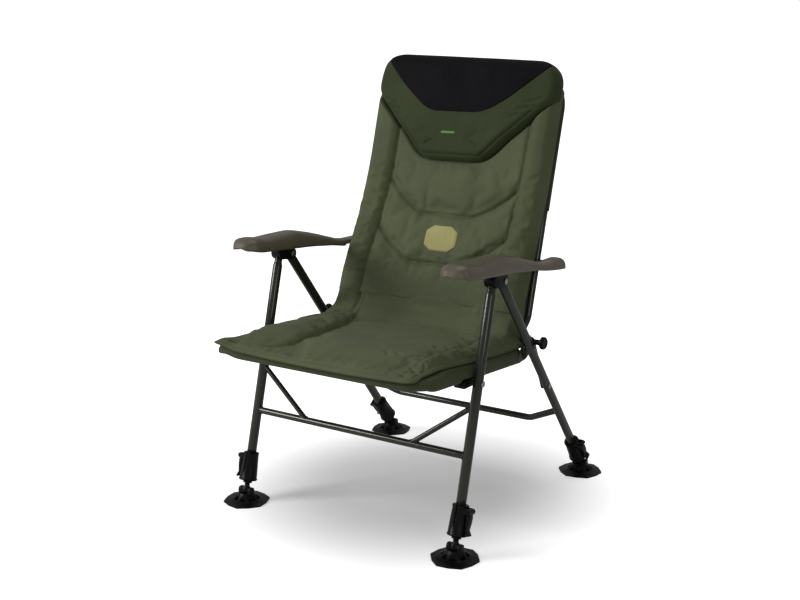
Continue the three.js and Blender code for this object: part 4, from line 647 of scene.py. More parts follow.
# %% Seat and back tubes
SEAT_RAIL_X = 0.260
SEAT_RAIL_RADIUS = 0.010
SEAT_FRONT_Y = -0.364
SEAT_CORNER = 0.062
SEAT_SLOPE = 0.07
SEAT_PIVOT = on_front_leg(0.362)
RAIL_Z = 0.376
BACK_PIVOT = np.array([0, 0.074, 0.392])
SEAT_END_RISE = 0.012
SEAT_RISE_BEND = 0.024
SEAT_TILT = math.atan(SEAT_SLOPE)
LEAN = math.radians(16.2)
BACK_LINE = np.array([0, 0.128, 0.450])
BACK_TUBE_X = 0.236
BACK_TUBE_RADIUS = 0.009
BACK_TOP = 0.560
BACK_CORNER = 0.092
BACK_KINK = -0.020
BACK_KINK_BEND = 0.034
BACK_END = 0.011


def rail_z(y):
    return RAIL_Z - SEAT_SLOPE * (y - SEAT_PIVOT[1])


def on_seat(x, y, z):
    """From the rails' own frame, y back along them and z standing on them, to the chair's."""
    x, y, z = np.broadcast_arrays(x, y, z)
    sin, cos = math.sin(SEAT_TILT), math.cos(SEAT_TILT)
    return np.stack([x, y * cos + z * sin, rail_z(0) - y * sin + z * cos], axis=-1)


def on_back(x, s, depth):
    """From the back's own frame, s up its line and depth in front of it, to the chair's."""
    x, s, depth = np.broadcast_arrays(x, s, depth)
    sin, cos = math.sin(LEAN), math.cos(LEAN)
    return np.stack([x, BACK_LINE[1] - depth * cos + s * sin, BACK_LINE[2] + depth * sin + s * cos], axis=-1)


def mirror(points):
    """The same points on the other side, in reverse order, so that a route goes on round."""
    return np.asarray(points)[::-1] * (-1, 1, 1)


pivot_y = BACK_PIVOT[1]
half_rail = np.array([
    (SEAT_RAIL_X, pivot_y, BACK_PIVOT[2] + SEAT_END_RISE),
    (SEAT_RAIL_X, pivot_y, rail_z(pivot_y)),
    (SEAT_RAIL_X, SEAT_FRONT_Y, rail_z(SEAT_FRONT_Y)),
])
bends = [SEAT_RISE_BEND, SEAT_CORNER, SEAT_CORNER, SEAT_RISE_BEND]
seat_route = rounded(np.vstack([half_rail, mirror(half_rail)]), bends, 10)
hoop = tube("seat_tube", seat_route, SEAT_RAIL_RADIUS, powder_coat)
attach(hoop, "seat", "steel_tube", "seat_frame")

away = BACK_PIVOT - BACK_LINE
pivot_s = away[1] * math.sin(LEAN) + away[2] * math.cos(LEAN)
pivot_depth = -(away[1] * math.cos(LEAN) - away[2] * math.sin(LEAN))
kink = on_back(BACK_TUBE_X, BACK_KINK, 0)
pivot = on_back(BACK_TUBE_X, pivot_s, pivot_depth)
half_hoop = np.array([pivot + unit(pivot - kink) * BACK_END, kink, on_back(BACK_TUBE_X, BACK_TOP, 0)])
bends = [BACK_KINK_BEND, BACK_CORNER, BACK_CORNER, BACK_KINK_BEND]
back_route = rounded(np.vstack([half_hoop, mirror(half_hoop)]), bends, 12)
hoop = tube("back_tube", back_route, BACK_TUBE_RADIUS, powder_coat)
attach(hoop, "back", "steel_tube", "back_frame")
print("pivot in the back's frame:", round(pivot_s, 4), round(pivot_depth, 4))

# %% [markdown]
# Small mouldings, plates and levers keep the shape that they have in the frame. A copy of each is welded
# into one skin, its sharp edges get a small rounding, as a mould or a press leaves, and it is shaded
# smooth between them.

# %% Finished copies of the small pieces
FOOT_SIDE = 0.043  # reach of the foot's plate at the middle of a straight side
FOOT_SIDE_ROUND = 0.0505  # the same on the soft hexagon
MOULD_EDGE = 0.0006
LEVER_EDGE = 0.0007
PLATE_EDGE = 0.0005
PIN_EDGE = 0.0004
MOULD_ANGLE = 38
PIN_ANGLE = 50
MERGE_WITHIN = 0.00001


def rounder_foot(mesh, centre):
    """Push the plate's rim outwards between its corners: its straight star becomes a soft hexagon.

    At an angle t from a corner the straight rim lies at R r sin 30 / (R sin t + r sin(30 - t)), for
    corners at R and side middles at r."""
    points = np.empty(len(mesh.vertices) * 3)
    mesh.vertices.foreach_get("co", points)
    points = points.reshape(-1, 3)
    flat = points[:, :2] - centre
    reach = np.hypot(flat[:, 0], flat[:, 1])
    angle = np.arctan2(flat[:, 1], flat[:, 0])
    turn = np.abs((angle - angle[np.argmax(reach)] + math.pi / 6) % (math.pi / 3) - math.pi / 6)
    corner, side = reach.max(), FOOT_SIDE
    rim = corner * side * 0.5 / (corner * np.sin(turn) + side * np.sin(math.pi / 6 - turn))
    wanted = corner - (corner - FOOT_SIDE_ROUND) * np.sin(turn * 3)
    grow = 1 + (wanted / rim - 1) * step(reach / rim, 0.72, 0.97)
    points[:, :2] = centre + flat * grow[:, None]
    mesh.vertices.foreach_set("co", points.ravel())


def finished(node_name, material, body, slot, edge, angle=MOULD_ANGLE, foot=None):
    """A merged copy of a frame piece: edges sharper than the angle are bevelled, the rest shade smooth."""
    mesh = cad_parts[node_name].data.copy()
    mesh.materials.clear()
    mesh.materials.append(material)
    if foot is not None:
        rounder_foot(mesh, foot)
    obj = bpy.data.objects.new("finished_" + node_name, mesh)
    scene.collection.objects.link(obj)
    obj.modifiers.new("weld", "WELD").merge_threshold = MERGE_WITHIN
    if edge:
        bevel = obj.modifiers.new("edge", "BEVEL")
        bevel.width = edge
        bevel.segments = 2
        bevel.limit_method = "ANGLE"
        bevel.angle_limit = math.radians(angle)
    bpy.context.view_layer.update()
    shape = obj.evaluated_get(bpy.context.evaluated_depsgraph_get())
    final = bpy.data.meshes.new_from_object(shape)
    obj.modifiers.clear()
    obj.data = final
    final.polygons.foreach_set("use_smooth", np.ones(len(final.polygons), bool))
    final.set_sharp_from_angle(angle=math.radians(angle))
    return attach(obj, body, slot, node_name)


MOULDINGS = (
    ("top_bracket", "front_frame"), ("front_clamp", "front_frame"), ("rear_clamp", "rear_frame"),
    ("seat_clip", "seat"), ("link", "links"),
)
PINS = (
    ("bracket_pin", "front_frame"), ("link_pin", "rear_frame"), ("seat_pin", "front_frame"),
    ("arm_pin", "arm_pivots"), ("pivot_disc", "recliner"),
)
for side, sign in SIDES:
    for name, body in (*MOULDINGS, ("clamp_knob", f"knob_{side}")):
        finished(f"{name}_{side}", black_moulding, body, "black_plastic", MOULD_EDGE)
    for end, foot_y in (("front", FRONT_FOOT_Y), ("rear", REAR_FOOT_Y)):
        lever, foot, inner = f"{end}_lever_{side}", f"{end}_foot_{side}", f"{end}_inner_leg_{side}"
        centre = np.array([sign * LEG_X, foot_y])
        finished(lever, black_moulding, f"{end}_lever_body_{side}", "black_plastic", LEVER_EDGE)
        finished(foot, black_moulding, f"{end}_foot_body_{side}", "black_plastic", PLATE_EDGE, foot=centre)
        finished(inner, black_moulding, f"{end}_inner_{side}", "black_plastic", 0, PIN_ANGLE)
    finished(f"seat_plate_{side}", powder_coat, "seat", "steel_tube", PLATE_EDGE)
    for name, body in PINS:
        finished(f"{name}_{side}", zinc, body, "bright_steel", PIN_EDGE, PIN_ANGLE)
    finished(f"arm_guide_pin_{side}", black_moulding, "back", "black_plastic", PLATE_EDGE)

# %% [markdown]
# The armrest is a thin shell, open below. Its plan, its crown and its drop towards the back are read as
# smooth curves through a few sections, and each section is a squared arch. The wall's thickness is
# added afterwards.

# %% Armrests
ARM_WALL = 0.0034
ARM_SQUARE = 3.2
# Place along the chair, inner and outer edge, top, and the lower edge of the walls
ARM_SECTIONS = np.array([
    (-0.290, 0.256, 0.294, 0.613, 0.606),
    (-0.286, 0.250, 0.300, 0.6195, 0.602),
    (-0.276, 0.244, 0.306, 0.6235, 0.600),
    (-0.258, 0.2415, 0.308, 0.6235, 0.596),
    (-0.214, 0.2405, 0.309, 0.6185, 0.5925),
    (-0.170, 0.2415, 0.3085, 0.6195, 0.589),
    (-0.119, 0.2445, 0.307, 0.6195, 0.5845),
    (-0.060, 0.251, 0.304, 0.6095, 0.5785),
    (-0.016, 0.2565, 0.301, 0.5985, 0.5725),
    (0.039, 0.2615, 0.298, 0.583, 0.565),
    (0.078, 0.2625, 0.298, 0.5725, 0.558),
    (0.116, 0.2625, 0.298, 0.568, 0.5525),
    (0.150, 0.2625, 0.298, 0.5675, 0.5485),
    (0.178, 0.263, 0.297, 0.5675, 0.546),
    (0.186, 0.264, 0.296, 0.5645, 0.545),
])
ARM_NOTCH_Y = 0.090
ARM_NOTCH_RISE = 0.010
ARM_NOSE = 0.019  # length of the lower, narrower lip in front
ARM_STEP = 0.0016
ARM_LIP_INSET = 0.0055
ARM_LIP_EASE = 0.0035
ARM_NOSE_ROUND = 0.020
ARM_TAIL_ROUND = 0.012


def smooth_through(t, knots, values):
    """A cubic through knots whose slopes are the mean of their neighbours' slopes, made monotone."""
    slope = np.diff(values) / np.diff(knots)
    tangent = np.concatenate([[slope[0]], (slope[:-1] + slope[1:]) / 2, [slope[-1]]])
    flat = np.concatenate([[False], slope[:-1] * slope[1:] <= 0, [False]])
    tangent[flat] = 0
    n = np.clip(np.searchsorted(knots, t, side="right") - 1, 0, len(knots) - 2)
    width = knots[n + 1] - knots[n]
    u = (t - knots[n]) / width
    start = (2 * u**3 - 3 * u**2 + 1) * values[n] + (u**3 - 2 * u**2 + u) * width * tangent[n]
    return start + (3 * u**2 - 2 * u**3) * values[n + 1] + (u**3 - u**2) * width * tangent[n + 1]


def armrest(side, sign):
    """Rows along the arm, columns over its arch from the inner wall's edge to the outer one's."""
    knots = ARM_SECTIONS[:, 0]
    y = knots[0] + (knots[-1] - knots[0]) * (0.5 - 0.5 * np.cos(np.linspace(0, math.pi, 90)))
    inner, outer, top, low = (smooth_through(y, knots, ARM_SECTIONS[:, n]) for n in range(1, 5))
    nose = np.clip((y - knots[0]) / ARM_NOSE_ROUND, 0, 1)
    tail = np.clip((knots[-1] - y) / ARM_TAIL_ROUND, 0, 1)
    swell = np.sqrt(1 - (1 - nose) ** 2) * (0.85 + 0.15 * np.sqrt(1 - (1 - tail) ** 2))
    lip = step(knots[0] + ARM_NOSE - y, -ARM_LIP_EASE, ARM_LIP_EASE)
    inner, outer = inner + ARM_LIP_INSET * lip, outer - ARM_LIP_INSET * lip
    middle, half = (inner + outer) / 2, (outer - inner) / 2 * (0.55 + 0.45 * swell)
    angle = np.linspace(math.pi, 0, 49)
    across = powered(np.cos(angle), 2 / ARM_SQUARE)
    rise = powered(np.sin(angle), 2 / ARM_SQUARE)
    cut = np.clip((y - ARM_NOTCH_Y) / ARM_NOTCH_RISE, 0, 1)
    inner_low = low + (top - ARM_WALL - low) * cut * (3 * cut - 2 * cut**2)
    floor_z = np.where(angle[None] > math.pi / 2, inner_low[:, None], low[:, None])
    height = ((top - ARM_STEP * lip)[:, None] - floor_z) * (0.04 + 0.96 * swell)[:, None]
    grid = np.stack([
        (middle[:, None] + half[:, None] * across) * sign,
        np.broadcast_to(y[:, None], (len(y), len(angle))),
        floor_z + height * rise,
    ], axis=-1)
    shell = skin(f"arm_shell_{side}", grid, arm_moulding, flip=sign > 0)
    wall = shell.modifiers.new("wall", "SOLIDIFY")
    wall.thickness = ARM_WALL
    wall.offset = -1
    attach(shell, "armrests", "arm_plastic", f"armrest_{side}")


for side, sign in SIDES:
    armrest(side, sign)

# %% [markdown]
# Cloth is never even. A lattice of seeded random numbers, joined by smooth steps, gives slow swells, and
# creases are narrow valleys along short lines that are placed where the photograph shows them.

# %% Wrinkle helpers
LATTICE = np.random.default_rng(7).random((97, 89))


def swells(x, y, size, shift=0.0):
    """Smooth value noise from -1 to 1: a random lattice with the given cell size, joined by 3t^2-2t^3."""
    u, v = np.asarray(x) / size + 31.7 + shift, np.asarray(y) / size + 17.3 - shift
    i, j = np.floor(u).astype(int), np.floor(v).astype(int)
    s, t = u - i, v - j
    s, t = s * s * (3 - 2 * s), t * t * (3 - 2 * t)
    at = lambda a, b: LATTICE[a % LATTICE.shape[0], b % LATTICE.shape[1]]
    low = at(i, j) * (1 - s) + at(i + 1, j) * s
    high = at(i, j + 1) * (1 - s) + at(i + 1, j + 1) * s
    return (low * (1 - t) + high * t) * 2 - 1


def crease(x, y, start, end, depth, width):
    """A valley along a line: depth times a bell across it, fading over its last quarter at each end."""
    start, end = np.array(start), np.array(end)
    along = end - start
    length = np.linalg.norm(along)
    along = along / length
    t = (x - start[0]) * along[0] + (y - start[1]) * along[1]
    d = (x - start[0]) * -along[1] + (y - start[1]) * along[0]
    d = d + swells(t, t * 0 + depth * 1e4, length / 2.5) * width * 0.7
    fade = np.clip(np.minimum(t, length - t) / (length / 4), 0, 1)
    return -depth * np.exp(-((d / width) ** 2)) * fade * fade * (3 - 2 * fade)


def groove(distance, depth, width):
    """A seam's valley: sharp in its middle and wide at its lips."""
    return -depth * np.exp(-np.abs(distance) / width)


def round_edge(inset, roll):
    """Height from 0 to 1 over a quarter circle of the given size at an edge."""
    return np.sqrt(1 - (1 - np.clip(inset / roll, 0, 1)) ** 2)


# %% [markdown]
# Padding is loose fibre in a bag, so between its seams it swells like a cushion with air in it. A coarse
# copy of each mattress is blown up as cloth for a few frames, with its rim, its seams and its underside
# held, and the small moves are spread back over the fine surface. That draws the puckers at the seams.

# %% Blowing up the padding
PLUMP_STEP = 3
PLUMP_PRESSURE = 4.0
PLUMP_SLACK = 0.05
PLUMP_STIFFNESS = 0.1
PLUMP_FRAMES = 16
PLUMP_CAP = 0.005
PLUMP_ROUNDS = 3


def spread_rows(values, knots, count):
    """Values on some rows, joined by straight lines over every row."""
    place = np.arange(count)
    n = np.clip(np.searchsorted(knots, place, side="right") - 1, 0, len(knots) - 2)
    share = (place - knots[n]) / (knots[n + 1] - knots[n])
    return values[n] * (1 - share)[:, None, None] + values[n + 1] * share[:, None, None]


def evened(moves):
    """Each move averaged with its neighbours: (before + 2 x itself + after) / 4 along and around."""
    for axis in (0, 1):
        inner = np.concatenate([moves.take([0], axis), moves, moves.take([-1], axis)], axis=axis)
        count = moves.shape[axis]
        before, after = inner.take(range(count), axis), inner.take(range(2, count + 2), axis)
        moves = (before + 2 * moves + after) / 4
    return moves


def outward_quads(coarse):
    """The faces of a grid whose columns go all round, turned so that air inside pushes them out."""
    index = np.arange(coarse.shape[0] * coarse.shape[1]).reshape(coarse.shape[:2])
    following = np.roll(index, -1, axis=1)
    quads = np.stack([index[:-1], index[1:], following[1:], following[:-1]], axis=-1).reshape(-1, 4)
    flat = coarse.reshape(-1, 3)
    a, b, c = flat[quads[:, 0]], flat[quads[:, 1]], flat[quads[:, 2]]
    inward = np.einsum("ij,ij->i", a - flat.mean(axis=0), np.cross(b - a, c - a)).sum() < 0
    return quads[:, ::-1] if inward else quads


def blown(name, coarse, held):
    """Every point's move when a grid is blown up as cloth while the held points stay."""
    mesh = bpy.data.meshes.new(name + "_blown")
    mesh.from_pydata(coarse.reshape(-1, 3).tolist(), [], outward_quads(coarse).tolist())
    obj = bpy.data.objects.new(name + "_blown", mesh)
    scene.collection.objects.link(obj)
    group = obj.vertex_groups.new(name="held")
    group.add(np.flatnonzero(held).tolist(), 1.0, "ADD")
    cloth = obj.modifiers.new("cloth", "CLOTH")
    cloth.settings.vertex_group_mass = "held"
    cloth.settings.use_pressure = True
    cloth.settings.uniform_pressure_force = PLUMP_PRESSURE
    cloth.settings.shrink_min = -PLUMP_SLACK
    cloth.settings.effector_weights.gravity = 0
    cloth.settings.bending_stiffness = PLUMP_STIFFNESS
    cloth.collision_settings.use_collision = False
    cloth.point_cache.frame_end = PLUMP_FRAMES
    for moment in range(1, PLUMP_FRAMES + 1):
        scene.frame_set(moment)
    shape = obj.evaluated_get(bpy.context.evaluated_depsgraph_get()).data
    after = np.empty(coarse.size)
    shape.vertices.foreach_get("co", after)
    bpy.data.objects.remove(obj)
    bpy.data.meshes.remove(mesh)
    scene.frame_set(1)
    return after.reshape(coarse.shape) - coarse


def plumped(name, points, held):
    """The move of every point of a mattress when a copy of every third row and column is blown up.

    A move of length d is eased to cap x tanh(d / cap), so that it is never longer than the cap."""
    rows = np.unique(np.append(np.arange(0, points.shape[0], PLUMP_STEP), points.shape[0] - 1))
    columns = np.arange(0, points.shape[1], PLUMP_STEP)
    moves = blown(name, points[np.ix_(rows, columns)], held[np.ix_(rows, columns)])
    length = np.linalg.norm(moves, axis=-1, keepdims=True)
    most, mean = length.max() * 1000, length.mean() * 1000
    print(f"{name}: cloth blew its face up by {most:.1f} mm at most, {mean:.2f} mm on average")
    moves = moves * np.tanh(length / PLUMP_CAP) * PLUMP_CAP / np.maximum(length, 1e-9)
    moves = spread_rows(moves, rows, points.shape[0])
    around = np.concatenate([moves, moves[:, :1]], axis=1).transpose(1, 0, 2)
    knots = np.append(columns, points.shape[1])
    moves = spread_rows(around, knots, points.shape[1]).transpose(1, 0, 2)
    for _ in range(PLUMP_ROUNDS):
        moves = evened(moves)
    return moves


def mattress(name, front, rear, held, from_seam, fill):
    """A padded bag blown up between its seams, whose bolsters, past their seams, take a darker copy of its
    cloth: painted shade.
    """
    grid = np.concatenate([front, rear[:, ::-1]], axis=1)
    moves = plumped(name, grid, with_rear(held))
    bolsters = (bolster_painted_shade_cloth, with_rear(from_seam > 0))
    mat = skin(name, grid + moves, pale_olive_cloth, around=True, ends="strip", second=bolsters)
    return mat


# %% [markdown]
# The lower layer of the seat is a padded sling on the tube: its rim is a tunnel that the tube runs in,
# and it is cut away round the two clips that hang the seat. Its plan is a rectangle with round front
# corners, so every height is a function of how far a point lies in from that outline.

# %% Seat sling
CLOTH_FRONT = -0.3765
CLOTH_HALF = 0.2725
# Radius of each corner, how far its ear sticks out and how much the seat narrows towards it
RIGHT_CORNER = (0.062, 0.0, 0.0)
LEFT_CORNER = (0.026, 0.013, 0.0)
EAR_LENGTH = 0.030
SLING_REAR = 0.032
SLING_TOP = 0.0215
SLING_FRONT_TOP = 0.0145
SLING_ROUND = 0.0118
SLING_UNDER = 0.0095  # how high over the rails its underside hangs between the tunnels
CLIP_HALF = 0.042
PINCH_PLACE = (0.255, -0.362)  # where the tunnel is pinched at both front corners
PINCH_SIZE = 0.020


def plan_rows(front, rear, count):
    """Rows that crowd towards the front, where the outline turns."""
    t = np.linspace(0, 1, count)
    return front + (rear - front) * (0.72 * t**1.8 + 0.28 * t)


def plan_side(y, half, front, corner):
    """Half width before the corner is cut: it narrows forwards, and a little ear of cloth sticks out."""
    radius, ear, narrowing = corner
    out = ear * np.exp(-(((y - front - radius * 0.8) / EAR_LENGTH) ** 2))
    return half + out - narrowing * step(y, -0.08, front)


def plan_edge(y, half, front, corner):
    """Half width at a row, with the round corner taken off."""
    radius = corner[0]
    short = 1 - np.clip((y - front) / radius, 0, 1)
    return plan_side(y, half, front, corner) - radius * (1 - np.sqrt(np.maximum(1 - short**2, 0)))


def plan_inset(x, y, half, front, corner):
    """How far a point lies inside that outline, by the nearer of its side and its front."""
    radius = corner[0]
    across = x - (plan_side(y, half, front, corner) - radius)
    ahead = (front + radius) - y
    reach = np.hypot(np.maximum(across, 0), np.maximum(ahead, 0))
    return radius - reach - np.minimum(np.maximum(across, ahead), 0)


def seat_grid(y, count, half, front, right, left):
    """A grid over the seat's plan, and each point's inset. The left corner is pulled out to a point."""
    across = crowded(count, 1.5)
    left_edge, right_edge = (plan_edge(y, half, front, corner)[:, None] for corner in (left, right))
    x = np.where(across < 0, left_edge, right_edge) * across
    yy = np.broadcast_to(y[:, None], x.shape)
    inset = np.minimum(plan_inset(-x, yy, half, front, left), plan_inset(x, yy, half, front, right))
    return x, yy, inset


def sling_top(y):
    """Height of the lower layer over the rail: thin over the front tube, then padded."""
    return SLING_FRONT_TOP + (SLING_TOP - SLING_FRONT_TOP) * step(y, -0.37, -0.27)


def sling_low(x, y, inset):
    """Height of its underside: half a circle round the tube, then flat, with notches at the clips."""
    from_tube = np.clip(inset - SLING_ROUND, -SLING_ROUND, SLING_ROUND)
    tunnel = -np.sqrt(np.maximum(SLING_ROUND**2 - from_tube**2, 0))
    flat = SLING_UNDER + swells(x, y, 0.05, 5) * 0.001
    inner = tunnel + flat * step(inset, 2 * SLING_ROUND, 0.03)
    low = np.where(inset < 2 * SLING_ROUND, tunnel, inner)
    low = low + groove(inset - 2 * SLING_ROUND, -0.0015, 0.002)
    off_x, off_y = np.abs(x) - PINCH_PLACE[0], y - PINCH_PLACE[1]
    low = low * (1 - 0.75 * np.exp(-((off_x / PINCH_SIZE) ** 2 + (off_y / PINCH_SIZE) ** 2)))
    clip = step(np.abs(y - SEAT_PIVOT[1]), CLIP_HALF, CLIP_HALF - 0.004) * step(inset, 0.032, 0.026)
    return low * (1 - clip) + np.maximum(low, 0.002) * clip


def seat_sling():
    """The sling as one padded bag over the tube."""
    y = plan_rows(CLOTH_FRONT, SLING_REAR, 120)
    x, yy, inset = seat_grid(y, 141, CLOTH_HALF, CLOTH_FRONT, RIGHT_CORNER, LEFT_CORNER)
    wave = swells(x, yy, 0.03) * 0.0013 + swells(x, yy, 0.011, 3) * 0.0004
    top = sling_top(yy) * round_edge(inset, 0.014) + wave * step(inset, 0, 0.01)
    low = np.minimum(sling_low(x, yy, inset), top - 0.001)
    sling = sewn("seat_sling", on_seat(x, yy, top), on_seat(x, yy, low), olive_cloth)
    attach(sling, "seat", "olive_cloth", "seat_cover")


seat_sling()

# %% [markdown]
# The mattress lies on the sling. Its front edge is a thin rolled hem that droops a little between two
# pointed corners, and padding swells up behind it. Two soft bolsters frame a paler panel: each widens
# behind the corner, narrows towards the back and is pinched where it meets the back's bolster.

# %% Seat mattress
MAT_HALF = 0.2660
MAT_FRONT = -0.3865
MAT_REAR = 0.0505
MAT_RIGHT_CORNER = (0.022, 0.0, 0.022)
MAT_LEFT_CORNER = (0.018, 0.011, -0.006)
CORNER_LIFT = 0.009
MAT_LIFT = 0.0008
HEM = 0.0075
DROOP = 0.0125
DROOP_REACH = 0.024
PANEL_THICK = 0.015
REAR_THICK = 0.0235
BOLSTER_RISE = 0.016
CREST = 0.34  # share of the bolster's width where it stands highest
# Place along the seat and how far from the middle each bolster's inner seam runs there
LEFT_SEAM = np.array([
    (-0.390, 0.272), (-0.374, 0.230), (-0.352, 0.160), (-0.326, 0.120), (-0.290, 0.106), (-0.230, 0.108),
    (-0.160, 0.120), (-0.080, 0.142), (-0.010, 0.163), (0.055, 0.172),
])
RIGHT_SEAM = np.array([
    (-0.390, 0.238), (-0.360, 0.224), (-0.300, 0.208), (-0.190, 0.200), (-0.060, 0.202), (0.055, 0.200),
])
SEAT_CREASES = [
    ((-0.20, 0.016), (0.18, 0.010), 0.0035, 0.005),
    ((-0.16, -0.012), (0.17, -0.016), 0.0028, 0.006),
    ((-0.19, -0.036), (0.05, -0.044), 0.0020, 0.007),
    ((-0.02, -0.042), (0.19, -0.034), 0.0022, 0.007),
    ((0.252, -0.358), (0.196, -0.318), 0.005, 0.005),
    ((0.246, -0.364), (0.222, -0.292), 0.0035, 0.004),
    ((0.236, -0.366), (0.160, -0.348), 0.0035, 0.004),
    ((0.240, -0.352), (0.246, -0.300), 0.003, 0.004),
    ((0.125, -0.262), (0.160, -0.292), 0.0035, 0.006),
    ((0.105, -0.268), (0.128, -0.300), 0.0028, 0.005),
    ((0.150, -0.158), (0.196, -0.190), 0.0035, 0.006),
    ((0.170, -0.150), (0.205, -0.152), 0.0030, 0.006),
    ((-0.095, -0.190), (-0.045, -0.140), 0.003, 0.006),
    ((-0.075, -0.205), (-0.020, -0.165), 0.0028, 0.007),
    ((-0.110, -0.160), (-0.070, -0.120), 0.0022, 0.006),
    ((-0.040, -0.290), (0.030, -0.272), 0.002, 0.009),
    ((-0.252, -0.360), (-0.200, -0.322), 0.0050, 0.005),
    ((-0.248, -0.366), (-0.178, -0.352), 0.0030, 0.004),
    ((-0.236, -0.040), (-0.202, 0.006), 0.0035, 0.004),
    ((-0.256, -0.010), (-0.206, 0.020), 0.0045, 0.005),
    ((-0.226, -0.050), (-0.198, -0.010), 0.0030, 0.004),
    ((0.204, -0.010), (0.256, 0.006), 0.0040, 0.005),
    ((0.200, -0.040), (0.240, -0.014), 0.0030, 0.005),
]
RIM_THICK = 0.002
SEAM_HELD = 0.005  # how near a seam the cloth is held while it is blown up
FOLD_FROM = -0.012  # where the fold leaves the seat's face
FOLD_CLEAR = 0.004
PIPING_RADIUS = 0.0013
PIPING_RISE = 0.0030
PANEL_FRONT = 0.0113  # depth in front of the back's line at which its padding begins


def attach_soft(piece, body, slot, *nodes):
    """Attaches a piece of the padding and gives it a mesh of its own."""
    attach(piece, body, slot, *nodes)
    if body == "seat":
        rear, face = on_seat(0, -0.1, MAT_LIFT), on_seat(0, -0.1, MAT_LIFT + 1)
    else:
        rear, face = on_back(0, 0.1, PANEL_FRONT), on_back(0, 0.1, PANEL_FRONT + 1)
    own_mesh(piece)


def mattress_top(x, y):
    """Height of the mattress over the rail, before its edges are rounded and its creases pressed in."""
    seam_at = np.where(x < 0, smooth_through(y, *LEFT_SEAM.T), smooth_through(y, *RIGHT_SEAM.T))
    from_seam = np.abs(x) - seam_at
    back_fade = step(y, -0.380, -0.24)
    rear = step(y, -0.075, 0.020)
    panel = HEM + (PANEL_THICK - HEM) * step(y, -0.378, -0.27) + (REAR_THICK - PANEL_THICK) * rear
    panel = panel + 0.003 * np.clip(1 - (x / 0.2) ** 2, 0, 1) * step(y, -0.36, -0.15) * (1 - rear)
    t = np.clip(from_seam / (MAT_HALF - seam_at), 0, 1)
    rise = np.sqrt(1 - (1 - np.clip(t / CREST, 0, 1)) ** 2)
    fall = np.clip((t - CREST) / (1 - CREST), 0, 1) ** 1.6
    hump = rise - 1.15 * fall * (1 - rear)
    slack = np.where(x > 0, 0.35 + 0.45 * step(y, -0.22, -0.02), 1)
    bolster = (0.001 + BOLSTER_RISE * back_fade * (1 - 0.5 * rear)) * hump * slack
    return sling_top(y) + MAT_LIFT + panel + bolster, from_seam


def mattress_rest(x, y, inset):
    """Height that the mattress rests at: on the sling, drooping in front and lifted at the left tip."""
    middle = 0.45 + 0.55 * np.clip(1 - (x / 0.25) ** 2, 0, 1)
    droop = DROOP * middle * (1 - np.clip(inset / DROOP_REACH, 0, 1)) ** 2 * step(y, -0.345, -0.375)
    tip = CORNER_LIFT * np.exp(-(((x + 0.270) / 0.030) ** 2 + ((y + 0.370) / 0.040) ** 2))
    return sling_top(y) + MAT_LIFT - droop + tip


def seat_relief(x, y, inset, from_seam):
    """Everything that is pressed into the seat's face: seams, puckers, swells, creases and the hem."""
    fade = step(y, -0.375, -0.33)
    slack_seam = np.where(x > 0, 0.25 + 0.75 * step(y, -0.20, -0.05), 1)
    seam = groove(from_seam, 0.0065, 0.0045) * fade * slack_seam
    pucker = swells(x, y, 0.014, 9) * np.exp(-np.abs(from_seam) / 0.016) * 0.0016 * fade
    slow = swells(x, y, 0.085, 2) * 0.0024 + swells(x, y, 0.036, 6) * 0.0010
    ripples = swells(x * 2.2, y * 0.35, 0.03, 4) * np.exp(-np.clip(inset, 0, 1) / 0.03) * 0.0013
    folds = sum(crease(x, y, *line) for line in SEAT_CREASES)
    inside = step(inset, 0.006, 0.024) * step(MAT_REAR - y, 0.0, 0.008)
    return (seam + pucker + slow + ripples + folds) * inside + groove(inset - 0.012, 0.0022, 0.0022)


def seat_mattress():
    """The mattress on its plan: rows back along the seat, columns across its face and its rear."""
    y = plan_rows(MAT_FRONT, MAT_REAR, 205)
    x, yy, inset = seat_grid(y, 235, MAT_HALF, MAT_FRONT, MAT_RIGHT_CORNER, MAT_LEFT_CORNER)
    height, from_seam = mattress_top(x, yy)
    base = mattress_rest(x, yy, inset)
    edge = round_edge(inset, 0.009) * round_edge(MAT_REAR - yy, 0.006)
    swell_in = 0.40 + 0.60 * step(inset, 0.002, 0.032)
    full = height - sling_top(yy) - MAT_LIFT
    relief = seat_relief(x, yy, inset, from_seam)
    top = base + RIM_THICK + (full - RIM_THICK) * edge * swell_in + relief * edge
    low = base + RIM_THICK * (1 - round_edge(inset, 0.010))
    still = (np.abs(from_seam) < SEAM_HELD) | (inset < 0.015) | (yy > FOLD_FROM - FOLD_CLEAR)
    mat = mattress("seat_mattress", on_seat(x, yy, top), on_seat(x, yy, low), still, from_seam, 0.5)
    attach_soft(mat, "seat", "pale_olive_cloth", "seat_cushion")


def seat_piping():
    """A thin cord along the mattress's rim: down the left side, across the front and up the right side."""
    y = plan_rows(MAT_FRONT, MAT_REAR - 0.012, 90)
    left = plan_edge(y, MAT_HALF, MAT_FRONT, MAT_LEFT_CORNER)
    right = plan_edge(y, MAT_HALF, MAT_FRONT, MAT_RIGHT_CORNER)
    front = np.linspace(-left[0], right[0], 60)[1:-1]
    x = np.concatenate([-left[::-1], front, right])
    y = np.concatenate([y[::-1], np.full(len(front), MAT_FRONT), y])
    route = on_seat(x, y, mattress_rest(x, y, 0) + PIPING_RISE)
    piping = tube("seat_piping", route, PIPING_RADIUS, olive_cloth, sides=8)
    attach_soft(piping, "seat", "pale_olive_cloth")


seat_mattress()
seat_piping()

# %% [markdown]
# The back is built the same way, on the line of its tubes: a sling that sleeves the upper tubes, a
# mattress with bolsters and two hanging seams, and a pillow over its head.

